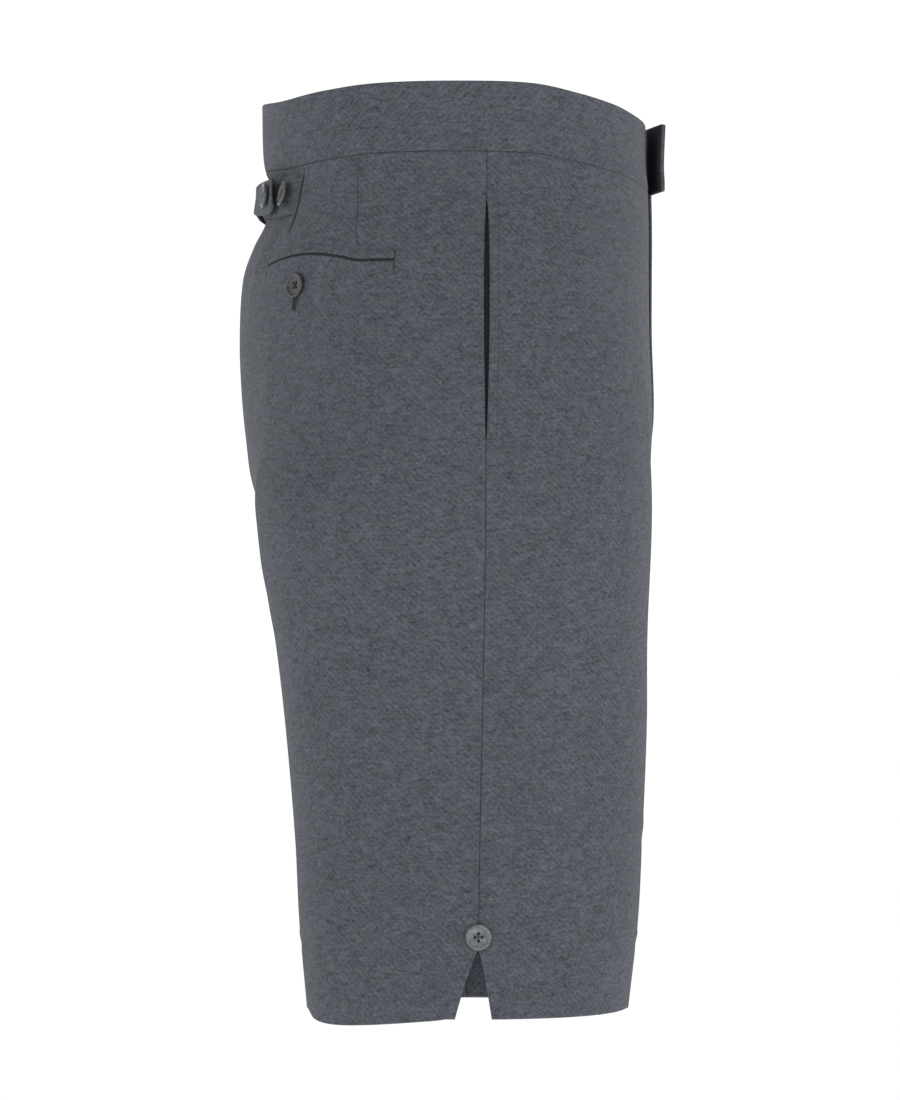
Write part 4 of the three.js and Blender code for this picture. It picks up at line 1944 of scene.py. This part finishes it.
@dataclass
class Buttons:
    """The six buttons, where the solids have them."""

    finishes: Finishes
    hip_x: float = 118.0
    hip_z: float = -96.5
    hem_z: float = -474.4
    on_strap: tuple[StrapButton, ...] = (
        StrapButton("fastened", Side.LEFT, -71.0, 0.9),
        StrapButton("spare", Side.RIGHT, -88.5, 0.3, 0.3, 0.12),
    )

    def on_cloth(
        self,
        node: str,
        slot: str,
        side: Side,
        half: Half,
        across: Array | float,
        z: float,
    ) -> Button:
        """A button that lies on a panel.

        Args:
            node: The solid that it replaces.
            slot: The slot of its finish.
            side: Side of the wearer.
            half: Front or back.
            across: Share across the half.
            z: Level.

        Returns:
            The button, not built yet.
        """
        centre = FORM.skin(side, half, across, z, FORM.gap)
        return Button(node, slot, centre, FORM.direction(side, half, across, z))

    def strapped(self, place: StrapButton) -> Button:
        """A button on the strap, which may hang turned on its thread.

        Args:
            place: Where it is.

        Returns:
            The button, not built yet.
        """
        strap = Strap(place.side)
        facing = Vector(strap.facing(place.x))
        out = place.raised + Button.radius * math.sin(place.turn)
        centre = Vector(strap.point(place.x, 0.0, strap.wall)) + facing * out
        facing.rotate(Matrix.Rotation(-place.turn, 3, "Z") @ Matrix.Rotation(place.lean, 3, "X"))
        return Button(f"strap_button_{place.word}", "grey_shell", np.array(centre), np.array(facing))

    def build(self) -> None:
        """Makes them all."""
        finishes = self.finishes
        for side in Side:
            hip, hem = f"hip_button_{side.word}", f"hem_button_{side.word}"
            across = FORM.across_at_x(Half.BACK, self.hip_x, self.hip_z)
            on_hip = self.on_cloth(hip, "dark_horn", side, Half.BACK, across, self.hip_z)
            on_hip.build(finishes.horn, finishes.dark_thread)
            on_hem = self.on_cloth(hem, "grey_shell", side, Half.FRONT, 1.0, self.hem_z)
            on_hem.build(finishes.shell, finishes.thread)
        for place in self.on_strap:
            # The strap buttons get the darker copy of the grey shell as painted shade
            self.strapped(place).build(finishes.shaded_grey_shell, finishes.dark_thread)


@dataclass(frozen=True)
class Stitch:
    """One kind of stitch: how far apart its stitches are, and how long and wide."""

    pitch: float
    length: float
    width: float


class StitchTree(NodeTree):
    """Geometry Nodes that lay stitches along a line of points."""

    def __init__(self) -> None:
        """Builds the tree once for every line."""
        super().__init__(bpy.data.node_groups.new("stitch line", "GeometryNodeTree"))
        face = self.tree.interface
        face.new_socket("Line", in_out="INPUT", socket_type="NodeSocketGeometry")
        kinds = {name: "NodeSocketFloat" for name in ("Pitch", "Length", "Width")}
        kinds["Finish"] = "NodeSocketMaterial"
        self.inputs = {
            name: face.new_socket(name, in_out="INPUT", socket_type=kind).identifier
            for name, kind in kinds.items()
        }
        face.new_socket("Stitches", in_out="OUTPUT", socket_type="NodeSocketGeometry")
        self.wire()

    def wire(self) -> None:
        """Links the nodes from the line to the stitches."""
        given = self.node("NodeGroupInput").outputs
        curve = self.node("GeometryNodeMeshToCurve", None, {0: given["Line"]}).outputs[0]
        along = {"Curve": curve, "Length": given["Pitch"]}
        dots = self.node("GeometryNodeCurveToPoints", {"mode": "LENGTH"}, along).outputs
        ball = self.node("GeometryNodeMeshUVSphere", None, {"Segments": 8, "Rings": 6, "Radius": 0.5})
        sizes = {0: given["Width"], 1: given["Width"], 2: given["Length"]}
        size = self.node("ShaderNodeCombineXYZ", None, sizes).outputs[0]
        placed = {"Points": dots["Points"], "Rotation": dots["Rotation"]}
        placed |= {"Instance": ball.outputs[0], "Scale": size}
        balls = self.node("GeometryNodeInstanceOnPoints", None, placed).outputs[0]
        real = self.node("GeometryNodeRealizeInstances", None, {0: balls}).outputs[0]
        dressed = {"Geometry": real, "Material": given["Finish"]}
        finish = self.node("GeometryNodeSetMaterial", None, dressed).outputs[0]
        self.node("NodeGroupOutput", None, {0: finish})

    def sew(self, name: str, path: Array, material: bpy.types.Material, stitch: Stitch) -> bpy.types.Object:
        """Sews one line.

        Args:
            name: The piece's name.
            path: Points of the line in millimetres, in order.
            material: The thread's finish.
            stitch: The kind of stitch.

        Returns:
            The piece, as a plain mesh.
        """
        mesh = bpy.data.meshes.new(f"{name}_line")
        mesh.from_pydata((path * MM).tolist(), [(i, i + 1) for i in range(len(path) - 1)], [])
        line = linked(f"{name}_line", mesh)
        nodes = line.modifiers.new("stitches", "NODES")
        nodes.node_group = self.tree
        sizes = {"Pitch": stitch.pitch, "Length": stitch.length, "Width": stitch.width}
        for word, number in sizes.items():
            nodes[self.inputs[word]] = number * MM
        nodes[self.inputs["Finish"]] = material
        made = applied(line, name)
        shade_smooth(made)
        return dress(linked(name, made), material, "sewing_thread")


@dataclass(frozen=True)
class Slit:
    """Near-black strip on a back, between two places, that paints the shade in a slit or a seam groove."""

    x: tuple[float, float]
    z: tuple[float, float]
    width: float
    bow: float = 0.0
    rise: float = 0.16
    sunk: float = 0.9
    rows: int = 25
    bluntness: int = 8
    tip: float = 0.02

    def build(self, name: str, side: Side, shade_finish: bpy.types.Material) -> bpy.types.Object:
        """Makes the strip of painted shade.

        Args:
            name: The piece's name.
            side: Side of the wearer.
            shade_finish: The near-black finish that paints the shade.

        Returns:
            The piece.
        """
        share = np.linspace(0.0, 1.0, self.rows)[:, None]
        narrow = np.sqrt(np.clip(1.0 - (2.0 * share - 1.0) ** self.bluntness, self.tip, 1.0))
        off = np.array([-0.5, 0.0, 0.5])[None, :] * self.width * narrow
        level = np.broadcast_to(blend(self.z[0], self.z[1], share), off.shape)
        middle = blend(self.x[0], self.x[1], share) + self.bow * 4.0 * share * (1.0 - share)
        across = FORM.across_at_x(Half.BACK, middle + off, level)
        outer = FORM.skin(side, Half.BACK, across, level, self.rise)
        inner = FORM.skin(side, Half.BACK, across, level, -self.sunk)
        piece = shell(name, outer, inner, np.stack([off + SLIT_START, level], -1))
        return dress(piece, shade_finish, "pocket_cloth")


@dataclass
class Sewing:
    """Stitches that show on the outside, and near-black strips that paint the shade in the slits of the
    strap and buttonholes and along the darts.
    """

    tree: StitchTree
    finishes: Finishes
    mouth: Mouth = Mouth()
    edge_stitch: Stitch = Stitch(2.7, 2.1, 0.36)
    edge_margin: float = 5.6
    edge_top: float = 2.0
    edge_foot: float = 4.0
    edge_out: float = 0.02
    edge_points: int = 90
    mouth_bar: Stitch = Stitch(0.5, 0.85, 1.1)
    mouth_bar_length: float = 7.0
    jet_bar: Stitch = Stitch(0.5, 0.85, 0.8)
    jet_bar_half: float = 5.6
    jet_bar_out: float = 0.2
    # Near-black strips: painted shade in the buttonhole, in the slit the strap comes out of, and along the
    # darts' seams
    hole: Slit = Slit((118.0, 118.0), (-104.1, -110.4), 1.1)
    hole_stitch: Stitch = Stitch(0.45, 0.7, 0.95)
    hole_ends: tuple[float, float] = (-103.5, -111.0)
    hole_half: float = 1.0
    bar_out: float = 0.15
    bar_points: int = 12
    strap_slit: Slit = Slit((99.4, 98.0), (-28.5, -64.0), 1.8, -2.2)
    dart: Slit = Slit((132.8, 144.4), (-22.5, -75.0), 0.1, -1.8)

    def mouth_edge(self, side: Side) -> None:
        """Stitches the front edge of a side pocket mouth, and the bars at its ends.

        Args:
            side: Side of the wearer.
        """
        front = Panel(side, Half.FRONT)
        start, end = self.mouth.top - self.edge_top, self.mouth.bottom + self.edge_foot
        levels = np.linspace(start, end, self.edge_points)
        path = front.by_seam(np.full(self.edge_points, self.edge_margin), levels, self.edge_out)
        # Painted shade: the thread here is darker than the real one to show the shade of the stitch dimples
        self.tree.sew(f"mouth_stitches_{side.word}", path, self.finishes.dark_thread, self.edge_stitch)
        far = np.linspace(0.0, self.mouth_bar_length, self.bar_points)
        for end, level in (("top", self.mouth.top), ("bottom", self.mouth.bottom)):
            path = front.by_seam(far, np.full(self.bar_points, level), self.bar_out)
            self.tree.sew(f"mouth_tack_{end}_{side.word}", path, self.finishes.thread, self.mouth_bar)

    def jet_ends(self, side: Side) -> None:
        """Sews the bars at both ends of a hip pocket.

        Args:
            side: Side of the wearer.
        """
        jets = Jets(side)
        for end, share in (("inner", 0.0), ("outer", 1.0)):
            x, z = jets.line(np.full(self.bar_points, share))
            levels = z + np.linspace(self.jet_bar_half, -self.jet_bar_half, self.bar_points)
            across = FORM.across_at_x(Half.BACK, x, z)
            path = FORM.skin(side, Half.BACK, across, levels, self.jet_bar_out)
            self.tree.sew(f"jet_tack_{end}_{side.word}", path, self.finishes.dark_thread, self.jet_bar)

    def buttonhole(self, side: Side) -> None:
        """Lays a near-black strip that paints the shade in a hip buttonhole, and stitches its two edges.

        Args:
            side: Side of the wearer.
        """
        self.hole.build(f"hip_buttonhole_{side.word}", side, self.finishes.pocket)
        levels = np.linspace(*self.hole_ends, self.bar_points)
        for end, shift in (("a", -self.hole_half), ("b", self.hole_half)):
            x = np.full(self.bar_points, self.hole.x[0] + shift)
            across = FORM.across_at_x(Half.BACK, x, levels)
            path = FORM.skin(side, Half.BACK, across, levels, self.bar_out)
            name = f"hip_buttonhole_{end}_{side.word}"
            self.tree.sew(name, path, self.finishes.dark_thread, self.hole_stitch)

    def build(self) -> None:
        """Sews everything, one side after the other."""
        for side in Side:
            self.mouth_edge(side)
            self.jet_ends(side)
            self.buttonhole(side)
            self.strap_slit.build(f"strap_slit_{side.word}", side, self.finishes.pocket)
            self.dart.build(f"dart_{side.word}", side, self.finishes.pocket)


@dataclass
class Studio:
    """Camera, light, sky and floor. The camera's sizes are in pixels of the photograph's frame."""

    distance: float = 2.8
    focal_px: float = 4575.0
    sensor: float = 36.0
    height_px: int = 1100
    horizon_px: float = 600.0
    eye: tuple[float, float] = (0.0021, -0.2807)
    far: float = 60.0
    sky: float = 1.06
    overhead: float = 0.42
    sky_low: float = 0.16
    sky_high: float = 0.6
    key_place: tuple[float, float, float] = (-1.1, -1.8, -0.6)
    key_aim: tuple[float, float, float] = (0.0, 0.0, -0.26)
    key_size: float = 0.9
    key_power: float = 5.2
    floor_z: float = -0.78
    floor_reach: float = 30.0
    floor_grey: float = 0.5
    floor_glow: float = 0.72

    def camera(self) -> None:
        """Puts the camera at the photograph's place, level and at the wearer's right."""
        data = bpy.data.cameras.new("camera")
        data.sensor_width = self.sensor
        data.lens = self.focal_px / self.height_px * self.sensor
        data.shift_y = (self.horizon_px - self.height_px / 2) / self.height_px
        data.clip_end = self.far
        camera = linked("camera", data)
        camera.location = (-self.distance, *self.eye)
        camera.rotation_euler = (math.pi / 2, 0.0, -math.pi / 2)
        bpy.context.scene.camera = camera

    def light(self) -> None:
        """Adds a square soft light that faces the garment from the front right."""
        data = bpy.data.lights.new("key", "AREA")
        data.size = self.key_size
        data.energy = self.key_power
        lamp = linked("key", data)
        place = Vector(self.key_place)
        lamp.location = place
        lamp.rotation_euler = (Vector(self.key_aim) - place).to_track_quat("-Z", "Y").to_euler()

    def surround(self) -> None:
        """Makes a white sky that is dimmer overhead."""
        world = bpy.data.worlds.new("studio")
        world.use_nodes = True
        sky = NodeTree(world.node_tree)
        where = sky.node("ShaderNodeTexCoord").outputs["Generated"]
        height = sky.node("ShaderNodeSeparateXYZ", None, {0: where}).outputs["Z"]
        stops = ((self.sky_low, WHITE), (self.sky_high, tinted(WHITE, self.overhead)))
        shade = sky.node("ShaderNodeValToRGB", {"stops": stops}, {0: height}).outputs[0]
        background = world.node_tree.nodes["Background"]
        sky.feed(background.inputs[0], shade)
        sky.feed(background.inputs[1], self.sky)
        bpy.context.scene.world = world

    def floor(self) -> None:
        """Lays a plain pale floor."""
        mesh = bpy.data.meshes.new("floor")
        reach = self.floor_reach
        corners = [(-reach, -reach), (reach, -reach), (reach, reach), (-reach, reach)]
        mesh.from_pydata([(x, y, self.floor_z) for x, y in corners], [], [(0, 1, 2, 3)])
        mesh.materials.append(
            Graph("floor").finish(
                Base_Color=opaque(tinted(WHITE, self.floor_grey)),
                Roughness=0.9,
                Emission_Color=opaque(WHITE),
                Emission_Strength=self.floor_glow,
            )
        )
        linked("floor", mesh)

    def build(self) -> None:
        """Makes the studio."""
        bpy.context.scene.view_settings.view_transform = "Standard"
        self.surround()
        self.camera()
        self.light()
        self.floor()


def main() -> None:
    """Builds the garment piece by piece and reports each."""
    logging.basicConfig(level=logging.INFO, format="%(message)s")
    Studio().build()
    finishes = Finishes()
    for side in Side:
        Waistband(side).build(finishes)
    for side in Side:
        Panel(side, Half.FRONT).build(finishes)
        Panel(side, Half.BACK).build(finishes, Jets(side).build(finishes))
        PocketFacing(side).build(finishes)
    for side in Side:
        Strap(side).build(finishes)
    Buttons(finishes).build()
    Sewing(StitchTree(), finishes).build()


if __name__ == "__main__":
    main()
